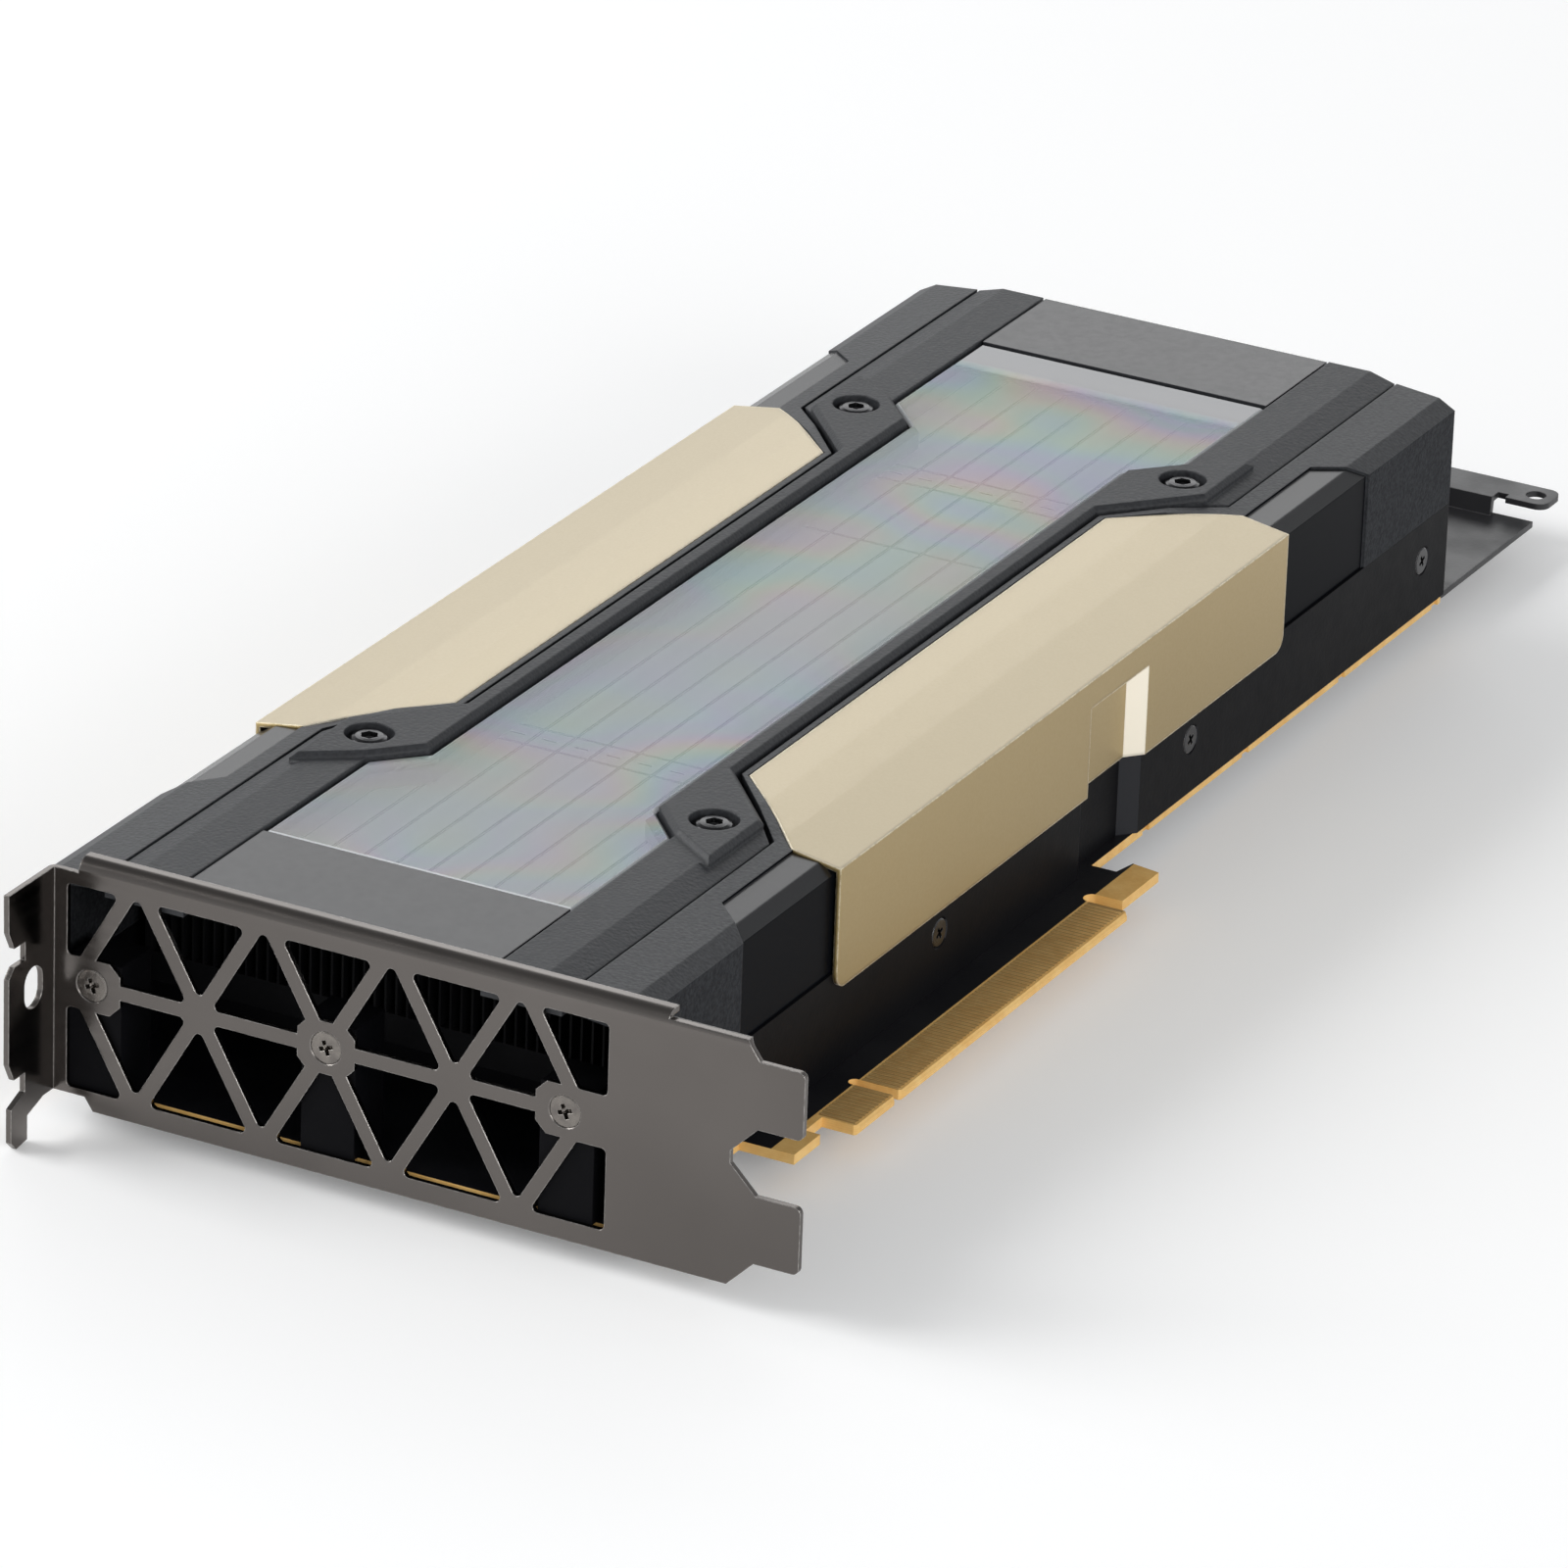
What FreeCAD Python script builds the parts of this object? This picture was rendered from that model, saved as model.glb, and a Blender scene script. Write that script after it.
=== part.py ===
import FreeCAD, Part
import functools
import os
import re

import Sketcher

# Dual-slot, full-height passive accelerator card. The card lies with its board down: X runs up the
# card towards the edge contacts, Y runs from the slot bracket to the power end, Z is the card's height.
# Every size below is measured from the outer face of the bracket's flange (X), the front face of the
# bracket (Y) and the lower edge of the bracket (Z); each sub-part's Placement then moves it so that the
# origin is the middle of the box round the card, at the level of the surface that it lies on.

SIZES = {
    # Slot bracket, folded from one sheet
    "sheet": 0.86,
    "bend_radius": 0.3,
    "bracket_reach": 120.02,
    "bracket_top": 38.4,
    "bracket_shoulder_top": 37.4,
    "bracket_corner_top": 36.4,
    "bracket_corner_bottom": 2.0,
    "bracket_corner_length": 6.0,
    "bracket_corner_ramp": 1.4,
    "slot_pitch": 20.32,
    "slot_width": 18.42,
    "tab_margin": 4.115,
    "tab_width": 10.19,
    "tab_length": 6.97,
    "tab_rounding": 1.0,
    "shoulder_cut": 2.0,
    "lip_start": 4.8,
    "lip_end": 98.7,
    "lip_depth": 3.2,
    "lip_bend_radius": 1.2,
    "flange_reach": 11.9,
    "hook_reach": 12.0,
    "tongue_drop": 3.5,
    "tongue_tip_rise": 0.4,
    "tongue_width": 4.3,
    "tongue_outer": 11.2,
    "screw_notch_width": 2.9,
    "screw_notch_floor": 7.6,
    "screw_notch_height": 26.35,
    "screw_notch_flare": 1.4,
    "tongue_root_height": 3.1,
    "flange_hole_height": 19.9,
    "flange_hole_setback": 5.4,
    "flange_hole_width": 4.8,
    "flange_hole_length": 6.4,
    "flange_hole_round": 0.499,
    # Truss of the bracket's air outlet
    "truss_end_gap": 3.6,
    "truss_bar": 2.2,
    "truss_middle": 19.5,
    "truss_left": 3.0,
    "screw_node_gap": 3.0,
    "truss_top": 34.5,
    "truss_bottom": 3.0,
    "truss_rounding": 0.8,
    "screw_pad_width": 9.2,
    "screw_pad_height": 8.0,
    "screw_pad_corner": 1.7,
    # Board
    "cover_overhang": 2.1,
    "board_top": 2.9,
    "board_thickness": 1.57,
    "board_inset": 0.5,
    "board_front": 2.0,
    "board_rear": 267.2,
    "contact_edge": 104.0,
    "contact_root": 98.2,
    "key_middle": 60.6,
    "key_width": 1.9,
    "short_contacts": 11.65,
    "long_contacts": 71.65,
    "key_depth": 8.2,
    "slot_round": 0.49,
    "contact_bevel": 0.8,
    "edge_bevel_share": 0.3,
    "foot_front": 35.2,
    "foot_width": 7.7,
    "foot_edge": 100.6,
    "hook_gap": 2.9,
    "hook_width": 12.0,
    "hook_edge": 101.4,
    "hook_bay_edge": 96.7,
    "hook_bay_start": 145.0,
    "edge_notch_first": 162.0,
    "edge_notch_pitch": 34.0,
    "edge_notch_width": 2.2,
    "edge_notch_depth": 0.5,
    "edge_notches": 4,
    # Cast base frame that stands on the board
    "frame_half_width": 47.2,
    "frame_wall": 2.4,
    "frame_top": 18.5,
    "frame_front": 0.95,
    "floor_underside": 9.0,
    "floor_thickness": 2.5,
    "floor_front": 21.0,
    "floor_rear": 246.0,
    "chip_window_half_width": 31.0,
    "chip_window_half_length": 31.0,
    "rear_bar_gap": 1.55,
    "rear_bar_depth": 8.0,
    "rear_bar_top": 15.0,
    "post_diameter": 6.5,
    "boss_side": 6.6,
    "boss_depth": 2.4,
    "standoff_side": 4.5,
    # Recess in the side for the slot's card latch
    "latch_start": 140.0,
    "latch_length": 16.46,
    "latch_ramp": 2.7,
    "latch_depth": 2.3,
    "latch_top": 30.4,
    # Side screws, flush in the frame's walls
    "side_screw_first": 94.4,
    "side_screw_pitch": 81.85,
    "side_screw_height": 11.8,
    "side_screw_head": 4.4,
    "side_screw_head_depth": 1.1,
    "side_screw_shank": 2.5,
    "side_screw_length": 4.3,
    "side_screw_socket": 1.9,
    # Mouldings on top
    "seam": 0.4,
    "moulding_underside": 33.2,
    "rail_inner": 25.2,
    "rail_crease": 32.4,
    "rail_outer": 36.6,
    "rail_outer_top": 36.3,
    "rail_top": 37.5,
    "ridge_top": 38.4,
    "ridge_inner": 18.8,
    "ridge_outer": 22.2,
    "ridge_bevel": 0.7,
    "lead_in_share": 0.75,
    "rim_gap": 0.8,
    "bay_middle": 134.4,
    "bay_half_length": 73.8,
    "bay_slope_length": 7.0,
    "web_half_length": 57.6,
    "web_slope_length": 16.2,
    "boss_outer": 34.2,
    "boss_tip_run": 13.4,
    "ledge_width": 1.4,
    "screw_spread_x": 28.2,
    "screw_spread_y": 74.7,
    "screw_recess_diameter": 7.4,
    "screw_recess_depth": 1.9,
    "top_screw_head": 6.4,
    "top_screw_head_height": 1.6,
    "top_screw_shank": 3.0,
    "top_screw_length": 8.0,
    "top_screw_socket": 2.5,
    # Side covers
    "cover_inner_top": 36.4,
    "cover_crease": 44.4,
    "cover_crease_top": 35.65,
    "cover_outer_top": 34.1,
    "cover_wall": 2.2,
    "cover_roof": 2.2,
    "cover_rear": 267.2,
    "smooth_depth": 0.4,
    "smooth_inner": 40.2,
    "smooth_front": 33.5,
    "smooth_rear": 236.0,
    "smooth_slant": 6.5,
    # Accent covers, thin formed sheet over the side covers
    "accent_sheet": 0.7,
    "accent_gap": 0.2,
    "accent_front": 61.0,
    "accent_rear": 206.0,
    "accent_inner": 24.2,
    "accent_inner_top": 37.5,
    "accent_bend_inner": 30.5,
    "accent_bend_inner_top": 37.3,
    "accent_bend_outer": 37.5,
    "accent_bend_outer_top": 36.6,
    "accent_outer_top": 34.9,
    "accent_bottom": 16.0,
    "accent_shoulder": 40.0,
    "accent_slope_start": 77.6,
    "accent_slope_end": 190.8,
    "accent_knee": 34.2,
    "accent_knee_front": 67.4,
    "accent_knee_rear": 201.0,
    "accent_corner": 2.5,
    # Panels and window
    "panel_top": 37.4,
    "front_panel_rear": 24.3,
    "window_rear": 244.9,
    "window_top": 37.2,
    "window_thickness": 1.4,
    "window_bevel": 0.5,
    # Heatsink
    "sink_gap": 0.4,
    "sink_front": 21.0,
    "sink_rear": 244.0,
    "sink_plate": 4.0,
    "pedestal_half_width": 29.0,
    "pedestal_half_length": 29.0,
    "fin_pitch": 1.75,
    "fins_per_sheet": 3,
    "fin_thickness": 0.35,
    "fin_cap": 0.5,
    "post_clearance": 0.6,
    "fin_seam_width": 0.25,
    "fin_seam_depth": 0.25,
    "clip_row_first": 78.4,
    "clip_row_spread": 117.5,
    "clip_row_width": 6.0,
    "cross_seam": 172.3,
    "clip_length": 2.4,
    "clip_width": 0.6,
    # Chips and power parts
    "chip_middle": 134.0,
    "package_side": 55.0,
    "package_height": 1.8,
    "die_length": 33.0,
    "die_width": 25.0,
    "die_height": 0.9,
    "memory_length": 12.0,
    "memory_width": 8.0,
    "memory_gap": 0.6,
    "choke_side": 8.0,
    "choke_pitch": 10.5,
    "choke_inset": 4.3,
    "chokes_per_side": 8,
    "pad_thickness": 0.6,
    "capacitor_diameter": 6.3,
    "capacitor_height": 5.6,
    "capacitor_gap": 3.35,
    "capacitor_pitch": 7.4,
    "capacitor_inset": 9.0,
    "stage_side": 4.4,
    "stage_height": 1.0,
    "stage_gap": 0.2,
    "connector_inset": 3.7,
    "connector_width": 20.0,
    "connector_depth": 15.0,
    "connector_height": 10.4,
    "connector_overhang": 1.3,
    "socket_pitch": 4.2,
    "socket_side": 3.5,
    "socket_depth": 11.0,
    "latch_rib": 4.0,
    "pin_side": 1.1,
    "pin_setback": 3.0,
    # Bracket posts
    "post_gap": 2.5,
    "post_block_width": 8.6,
    "post_block_depth": 8.0,
    "post_block_top": 23.0,
    "bracket_screw_head": 4.9,
    "bracket_screw_head_depth": 0.95,
    "bracket_screw_socket": 2.2,
    "bracket_screw_shank": 3.0,
    "bracket_screw_length": 6.0,
    "hole_clearance": 0.1,
    "screw_cone_gap": 0.001,
    "socket_share": 0.6,
    # Plate under the board
    "plate_thickness": 0.8,
    "plate_inset": 1.6,
    "plate_screw_head": 3.8,
    "plate_screw_head_depth": 0.7,
    "plate_screw_socket": 1.9,
    "plate_screw_shank": 2.5,
    "plate_screw_length": 4.6,
    "plate_screw_inset": 3.7,
    "plate_rounding": 2.0,
    "plate_screw_spread": 114.0,
    # Extender at the power end
    "extender_sheet": 1.0,
    "extender_bend": 0.8,
    "extender_outer_bend": 1.7,
    "extender_level": 1.5,
    "extender_inset": 0.9,
    "extender_rear": 303.0,
    "extender_rise": 3.1,
    "strip_width": 6.9,
    "strip_end": 93.3,
    "strip_start": 2.0,
    "joggle_end": 84.5,
    "joggle_lean": 0.6,
    "extender_flange_top": 14.5,
    "ear_hole_diameter": 3.3,
    "ear_hole_x": 90.2,
    "ear_hole_inset": 3.4,
    "extender_screw_inset": 10.0,
    "extender_screw_pitch": 24.0,
    "extender_screw_height": 9.0,
    "extender_screw_head": 5.2,
    "extender_screw_head_height": 1.8,
    "extender_screw_shank": 3.0,
    "extender_screw_reach": 5.0,
    "extender_screw_socket": 2.4,
    "ear_rounding": 2.0,
    "flange_rounding": 2.5,
    "relief_width": 1.9,
    "relief_depth": 1.4,
    # How far a cut runs past the face that it starts from
    "margin": 1.0,
}

# Sizes that follow from others: the card's middle line, the spacing of the bracket's screws between the
# frame's walls, and the truss that their pads sit in.
FOLLOWING = {
    "card_middle": "(frame_half_width - cover_overhang)",
    "bracket_screw_spacing": "(frame_half_width - frame_wall - post_gap - post_block_width / 2)",
    "truss_pitch": "((bracket_screw_spacing + screw_node_gap) / 2)",
    "truss_right": "(card_middle + 2 * truss_pitch + truss_end_gap)",
}

doc = FreeCAD.newDocument("accelerator_card")
sheet = doc.addObject("Spreadsheet::Sheet", "sizes")
for row, (alias, amount) in enumerate(SIZES.items(), start=1):
    sheet.set(f"A{row}", alias)
    sheet.set(f"B{row}", str(amount))
    sheet.setAlias(f"B{row}", alias)
doc.recompute()

PLANES = {"x": "YZ_Plane", "y": "XZ_Plane", "z": "XY_Plane"}
AXES = {"x": "X_Axis", "y": "Y_Axis", "z": "Z_Axis"}
TOLERANCE = 1e-3
ALIAS = re.compile(r"(?<![\w.])(" + "|".join(sorted(SIZES, key=len, reverse=True)) + r")(?!\w)")


def bound(text):
    """A formula over the sheet's names, as FreeCAD reads it."""
    formula = str(text)
    for name, source in reversed(FOLLOWING.items()):
        formula = re.sub(rf"\b{name}\b", source, formula)
    return ALIAS.sub(r"sizes.\1", formula)


@functools.cache
def value(text):
    """What a formula over the sheet's names comes to."""
    return float(sheet.evalExpression(bound(text)))


# The frame of the part: the middle of its box, on the surface that it lies on.
SHIFT = {
    "x": "-(bracket_reach - cover_overhang - accent_sheet) / 2",
    "y": "-(extender_rear + strip_width - hook_reach) / 2",
    "z": "tongue_drop",
}


def place(part):
    for axis, amount in SHIFT.items():
        part.setExpression(f"Placement.Base.{axis}", bound(amount))


def new_body(label):
    body = doc.addObject("PartDesign::Body", label)
    body.Label = label
    place(body)
    return body


def origin_feature(body, role):
    return next(f for f in body.Origin.OriginFeatures if f.Role == role)


def sketch_on(body, axis, level, loops):
    """A sketch square to an axis at a level; each loop is a list of corners or a circle (x, y, radius)."""
    sketch = body.newObject("Sketcher::SketchObject", "outline")
    sketch.AttachmentSupport = [(origin_feature(body, PLANES[axis]), "")]
    sketch.MapMode = "FlatFace"
    sign = "-1" if axis == "y" else "1"
    sketch.setExpression("AttachmentOffset.Base.z", bound(f"{sign} * ({level})"))
    for loop in loops:
        if isinstance(loop, tuple):
            add_circle(sketch, *loop)
        else:
            add_polygon(sketch, loop)
    return sketch


def tie(sketch, kind, geometry, point, formula):
    if point:
        constraint = Sketcher.Constraint(kind, geometry, point, value(formula))
    else:
        constraint = Sketcher.Constraint(kind, geometry, value(formula))
    index = sketch.addConstraint(constraint)
    sketch.setExpression(f"Constraints[{index}]", bound(formula))


def add_polygon(sketch, corners):
    points = [FreeCAD.Vector(value(a), value(b), 0) for a, b in corners]
    count = len(points)
    first = sketch.GeometryCount
    lines = [Part.LineSegment(points[i], points[(i + 1) % count]) for i in range(count)]
    sketch.addGeometry(lines, False)
    joints = [Sketcher.Constraint("Coincident", first + i, 2, first + (i + 1) % count,
                                  1) for i in range(count)]
    sketch.addConstraint(joints)
    for i, (a, b) in enumerate(corners):
        tie(sketch, "DistanceX", first + i, 1, a)
        tie(sketch, "DistanceY", first + i, 1, b)


def add_circle(sketch, a, b, radius):
    centre = FreeCAD.Vector(value(a), value(b), 0)
    index = sketch.addGeometry(Part.Circle(centre, FreeCAD.Vector(0, 0, 1), value(radius)), False)
    tie(sketch, "DistanceX", index, 3, a)
    tie(sketch, "DistanceY", index, 3, b)
    tie(sketch, "Radius", index, 0, radius)


def grow(body, axis, start, end, *loops):
    """Adds the loops' area from start to end along an axis."""
    pad = body.newObject("PartDesign::Pad", "pad")
    pad.Profile = sketch_on(body, axis, start, loops)
    pad.setExpression("Length", bound(f"({end}) - ({start})"))
    pad.Reversed = axis == "y"
    settle(body, pad, 1)


def cut(body, axis, start, end, *loops):
    """Takes away the loops' area from start to end along an axis."""
    pocket = body.newObject("PartDesign::Pocket", "pocket")
    pocket.Profile = sketch_on(body, axis, start, loops)
    pocket.setExpression("Length", bound(f"({end}) - ({start})"))
    pocket.Reversed = axis != "y"
    settle(body, pocket, -1)
    return pocket


def settle(body, feature, sense):
    """Rebuilds after a feature and makes sure that it added or took away material."""
    body.Tip = feature
    previous = feature.BaseFeature.Shape.Volume if feature.BaseFeature else 0.0
    doc.recompute()
    change = (feature.Shape.Volume - previous) * sense
    if change <= 0 or "Invalid" in feature.State:
        reason = feature.getStatusString()
        raise ValueError(f"{body.Label}: {feature.Name} changed nothing or failed: {reason}")


def repeat(body, feature, axis, pitch, count):
    pattern = body.newObject("PartDesign::LinearPattern", "row")
    pattern.Originals = [feature]
    pattern.Direction = (origin_feature(body, AXES[axis]), [""])
    pattern.Mode = "Spacing"
    pattern.setExpression("Offset", bound(pitch))
    pattern.setExpression("Occurrences", bound(count))
    body.Tip = pattern
    doc.recompute()


def dress(body, kind, size_name, amount, chosen):
    """Fillets or chamfers the edges of the body's last feature that a test picks."""
    base = body.Tip
    names = [f"Edge{i}" for i, edge in enumerate(base.Shape.Edges, start=1) if chosen(edge)]
    if not names:
        raise ValueError(f"{body.Label}: no edge to dress")
    feature = body.newObject(f"PartDesign::{kind}", kind.lower())
    feature.Base = (base, names)
    feature.setExpression(size_name, bound(amount))
    body.Tip = feature
    doc.recompute()
    if "Invalid" in feature.State or not feature.Shape.isValid():
        raise ValueError(f"{body.Label}: {feature.Name} of {amount} failed")


def round_edges(body, radius, chosen):
    dress(body, "Fillet", "Radius", radius, chosen)


def bevel_edges(body, size, chosen):
    dress(body, "Chamfer", "Size", size, chosen)


def ends_of(edge):
    return [vertex.Point for vertex in edge.Vertexes]


def along(edge, axis):
    """True for a straight edge that runs along an axis."""
    points = ends_of(edge)
    if len(points) != 2:
        return False
    run = points[1] - points[0]
    return abs(abs(getattr(run, axis)) - edge.Length) < 1e-6 and edge.Length > 1e-6


def near(point, **place_of):
    return all(abs(getattr(point, axis) - value(formula)) < TOLERANCE for axis, formula in place_of.items())


def edge_at(edge, axis, **place_of):
    return along(edge, axis) and near(ends_of(edge)[0], **place_of)


def rectangle(a0, b0, a1, b1):
    return [(a0, b0), (a1, b0), (a1, b1), (a0, b1)]


def block(width, depth, a, b):
    """A rectangle round a centre."""
    return rectangle(f"{a} - {width} / 2", f"{b} - {depth} / 2", f"{a} + {width} / 2", f"{b} + {depth} / 2")


def across(side, distance):
    """X at a distance from the card's middle line, to the contact side (1) or the other (-1)."""
    return f"card_middle + ({side}) * ({distance})"


def steps(side, corners):
    return [(across(side, distance), run) for distance, run in corners]


SIDES = {"left": -1, "right": 1}
CONTACT_SIDE = 1
WALL_FACE = "(frame_half_width - frame_wall)"
BOARD_HALF_WIDTH = "(frame_half_width - board_inset)"
SINK_HALF_WIDTH = f"({WALL_FACE} - boss_depth - sink_gap)"


# Bracket: one folded sheet with a truss-cut air outlet
def truss_loops():
    """The triangles and end pieces cut between the bars of an equilateral lattice."""
    slant = "truss_bar / sqrt(3)"
    loops = []
    for row in (1, -1):
        base = f"truss_middle + ({row}) * truss_bar / 2"
        apex = f"truss_middle + ({row}) * (truss_pitch * sqrt(3) / 2 - truss_bar)"
        half_base = f"(truss_pitch / 2 - {slant} - truss_bar / 2 / sqrt(3))"
        for step in (-1.5, -0.5, 0.5, 1.5):
            middle = f"card_middle + ({step}) * truss_pitch"
            loops.append([(f"{middle} - {half_base}", base), (f"{middle} + {half_base}", base),
                          (middle, apex)])
        border = "truss_top" if row > 0 else "truss_bottom"
        rise = f"(({row}) * ({border} - truss_middle) / sqrt(3))"
        tip = f"truss_middle + ({row}) * truss_bar"
        for step in (-1, 0, 1):
            middle = f"card_middle + ({step}) * truss_pitch"
            spread = f"({rise} - {slant})"
            loops.append([(middle, tip), (f"{middle} + {spread}", border), (f"{middle} - {spread}", border)])
        inner = f"truss_middle + ({row}) * screw_pad_height / 2"
        foot = f"(screw_pad_height / 2 / sqrt(3) - {slant})"
        head = f"({rise} - {slant})"
        left_node = "card_middle - 2 * truss_pitch"
        right_node = "card_middle + 2 * truss_pitch"
        loops.append([("truss_left", inner), (f"{left_node} + {foot}", inner),
                      (f"{left_node} + {head}", border), ("truss_left", border)])
        loops.append([("truss_right", inner), ("truss_right", border),
                      (f"{right_node} - {head}", border), (f"{right_node} - {foot}", inner)])
    return loops


BRACKET_SCREWS = [across(step, "bracket_screw_spacing") for step in (-1, 0, 1)]


def make_bracket():
    body = new_body("io_bracket")
    shoulder = "bracket_reach - tab_length"
    face = [("0", "bracket_corner_bottom"), ("bracket_corner_length", "bracket_corner_bottom"),
            ("bracket_corner_length + bracket_corner_ramp", "0"), (f"{shoulder} - tab_margin", "0")]
    for level in ("0", "slot_pitch"):
        face += [(shoulder, f"{level} + tab_margin"), ("bracket_reach", f"{level} + tab_margin"),
                 ("bracket_reach", f"{level} + tab_margin + tab_width"),
                 (shoulder, f"{level} + tab_margin + tab_width")]
        if level == "0":
            face += [(f"{shoulder} - tab_margin", "slot_width"), (f"{shoulder} - tab_margin", "slot_pitch")]
    face += [(f"{shoulder} - shoulder_cut", "bracket_shoulder_top"), ("lip_end", "bracket_shoulder_top"),
             ("lip_end", "bracket_top"), ("lip_start", "bracket_top"),
             ("lip_start", "bracket_corner_top"), ("0", "bracket_corner_top")]
    grow(body, "y", "0", "sheet", face)
    cut(body, "y", "0", "sheet", *truss_loops())
    inside = ("truss_left", "truss_right", "truss_bottom", "truss_top")
    left, right, bottom, top = [value(name) for name in inside]

    def cell_corner(edge):
        point = ends_of(edge)[0]
        inside_x = left - TOLERANCE <= point.x <= right + TOLERANCE
        inside_z = bottom - TOLERANCE <= point.z < top + value("margin")
        return along(edge, "y") and inside_x and inside_z

    round_edges(body, "truss_rounding", cell_corner)
    grow(body, "y", "0", "sheet", *[pad_outline(x) for x in BRACKET_SCREWS[:2]],
         pad_outline(BRACKET_SCREWS[2], rectangle_to="truss_right"))
    round_edges(body, "tab_rounding",
                lambda edge: along(edge, "y") and near(ends_of(edge)[0], x="bracket_reach"))
    grow(body, "x", "lip_start", "lip_end", rectangle("0", "bracket_top - sheet", "lip_depth", "bracket_top"))
    round_edges(body, "lip_bend_radius + sheet", lambda edge: edge_at(edge, "x", y="0", z="bracket_top"))
    round_edges(body, "lip_bend_radius", lambda edge: edge_at(edge, "x", y="sheet", z="bracket_top - sheet"))
    grow(body, "x", "0", "sheet", flange_outline())
    round_edges(body, "bend_radius + sheet", lambda edge: edge_at(edge, "z", x="0", y="sheet"))
    cut(body, "x", "0", "sheet", slot_outline())
    round_edges(body, "flange_hole_width * flange_hole_round",
                lambda edge: along(edge, "x") and in_slot(edge))
    screw_holes(body, "y", "0", "bracket_screw_head_depth", "bracket_screw_shank", "bracket_screw_length",
                [(x, "truss_middle") for x in BRACKET_SCREWS])


def pad_outline(middle, rectangle_to=""):
    """Pad round a screw with its corners cut, or run straight on to the border of the air outlet."""
    corner = "screw_pad_corner"
    left, right = f"{middle} - screw_pad_width / 2", f"{middle} + screw_pad_width / 2"
    low, high = "truss_middle - screw_pad_height / 2", "truss_middle + screw_pad_height / 2"
    if rectangle_to:
        ends = [(rectangle_to, low), (rectangle_to, high)]
    else:
        ends = [(f"{right} - {corner}", low), (right, f"{low} + {corner}"),
                (right, f"{high} - {corner}"), (f"{right} - {corner}", high)]
    return [(left, f"{low} + {corner}"), (f"{left} + {corner}", low), *ends,
            (f"{left} + {corner}", high), (left, f"{high} - {corner}")]


def flange_outline():
    """The flange that lies on the chassis: hook, two screw notches and a tongue below."""
    outline = [("sheet", "bracket_corner_bottom"), ("sheet", "bracket_corner_top"),
               ("-hook_reach", "bracket_corner_top")]
    for level in ("screw_notch_height", "screw_notch_height - slot_pitch"):
        half = "screw_notch_width / 2"
        flare = "-(flange_reach - screw_notch_flare)"
        outline += [("-flange_reach", f"{level} + {half} + 2 * screw_notch_flare"),
                    (flare, f"{level} + {half}"),
                    ("-screw_notch_floor", f"{level} + {half}"), ("-screw_notch_floor", f"{level} - {half}")]
        if level == "screw_notch_height":
            outline += [(flare, f"{level} - {half}"),
                        ("-flange_reach", f"{level} - {half} - screw_notch_flare")]
    tongue_inner = "-(tongue_outer - tongue_width)"
    outline += [("-tongue_outer", "tongue_root_height"),
                ("-tongue_outer", "-tongue_drop + screw_notch_flare"),
                ("-tongue_outer + screw_notch_flare", "-tongue_drop"),
                (tongue_inner, "-tongue_drop + tongue_tip_rise"),
                (tongue_inner, "bracket_corner_bottom - screw_notch_flare"),
                (f"{tongue_inner} + tongue_width", "bracket_corner_bottom")]
    return outline


def slot_outline():
    half_width, half_length = "flange_hole_width / 2", "flange_hole_length / 2"
    return rectangle(f"-flange_hole_setback - {half_width}", f"flange_hole_height - {half_length}",
                     f"-flange_hole_setback + {half_width}", f"flange_hole_height + {half_length}")


def in_slot(edge):
    point = ends_of(edge)[0]
    return abs(point.y + value("flange_hole_setback")) < value("flange_hole_width") / 2 + TOLERANCE \
        and abs(point.z - value("flange_hole_height")) < value("flange_hole_length") / 2 + TOLERANCE


def screw_holes(body, axis, level, head_depth, shank, length, centres, flip=False):
    """Countersunk holes from a level into the piece, along the axis or against it when flipped."""
    hole = body.newObject("PartDesign::Hole", "hole")
    hole.Profile = sketch_on(body, axis, level, [(a, b, f"{shank} / 2") for a, b in centres])
    body.Tip = hole
    doc.recompute()
    hole.DepthType = "Dimension"
    hole.DrillPoint = "Flat"
    hole.HoleCutType = "Countersink"
    hole.HoleCutCustomValues = True
    hole.setExpression("Diameter", bound(f"{shank} + 2 * hole_clearance"))
    hole.setExpression("HoleCutDiameter", bound(f"{shank} + 2 * {head_depth} + 2 * hole_clearance"))
    hole.HoleCutCountersinkAngle = 90
    hole.setExpression("Depth", bound(f"{length} + hole_clearance"))
    hole.Reversed = (axis != "y") != flip
    settle(body, hole, -1)


def make_screws(label, axis, level, sense, head, head_depth, shank, length, socket, centres, style="flat"):
    """A group of like screws: heads at a level, shanks running along the axis in one sense."""
    body = new_body(label)

    def span(start, end):
        if sense > 0:
            return f"{level} + {start}", f"{level} + {end}"
        return f"{level} - ({end})", f"{level} - ({start})"
    grow(body, axis, *span("0", head_depth), *[(a, b, f"{head} / 2") for a, b in centres])
    rim = value(span(head_depth, head_depth)[0] if style == "flat" else level)

    def on_rim(edge):
        return len(edge.Vertexes) == 1 and abs(getattr(ends_of(edge)[0], axis) - rim) < TOLERANCE
    if style == "flat":
        bevel_edges(body, f"({head} - {shank}) / 2 - screw_cone_gap", on_rim)
    else:
        bevel_edges(body, f"{head_depth} * socket_share", on_rim)
    grow(body, axis, *span(head_depth, length), *[(a, b, f"{shank} / 2") for a, b in centres])
    cut(body, axis, *span("0", f"{head_depth} * socket_share"),
        *[hexagon(a, b, f"{socket} / 2") for a, b in centres])


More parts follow.
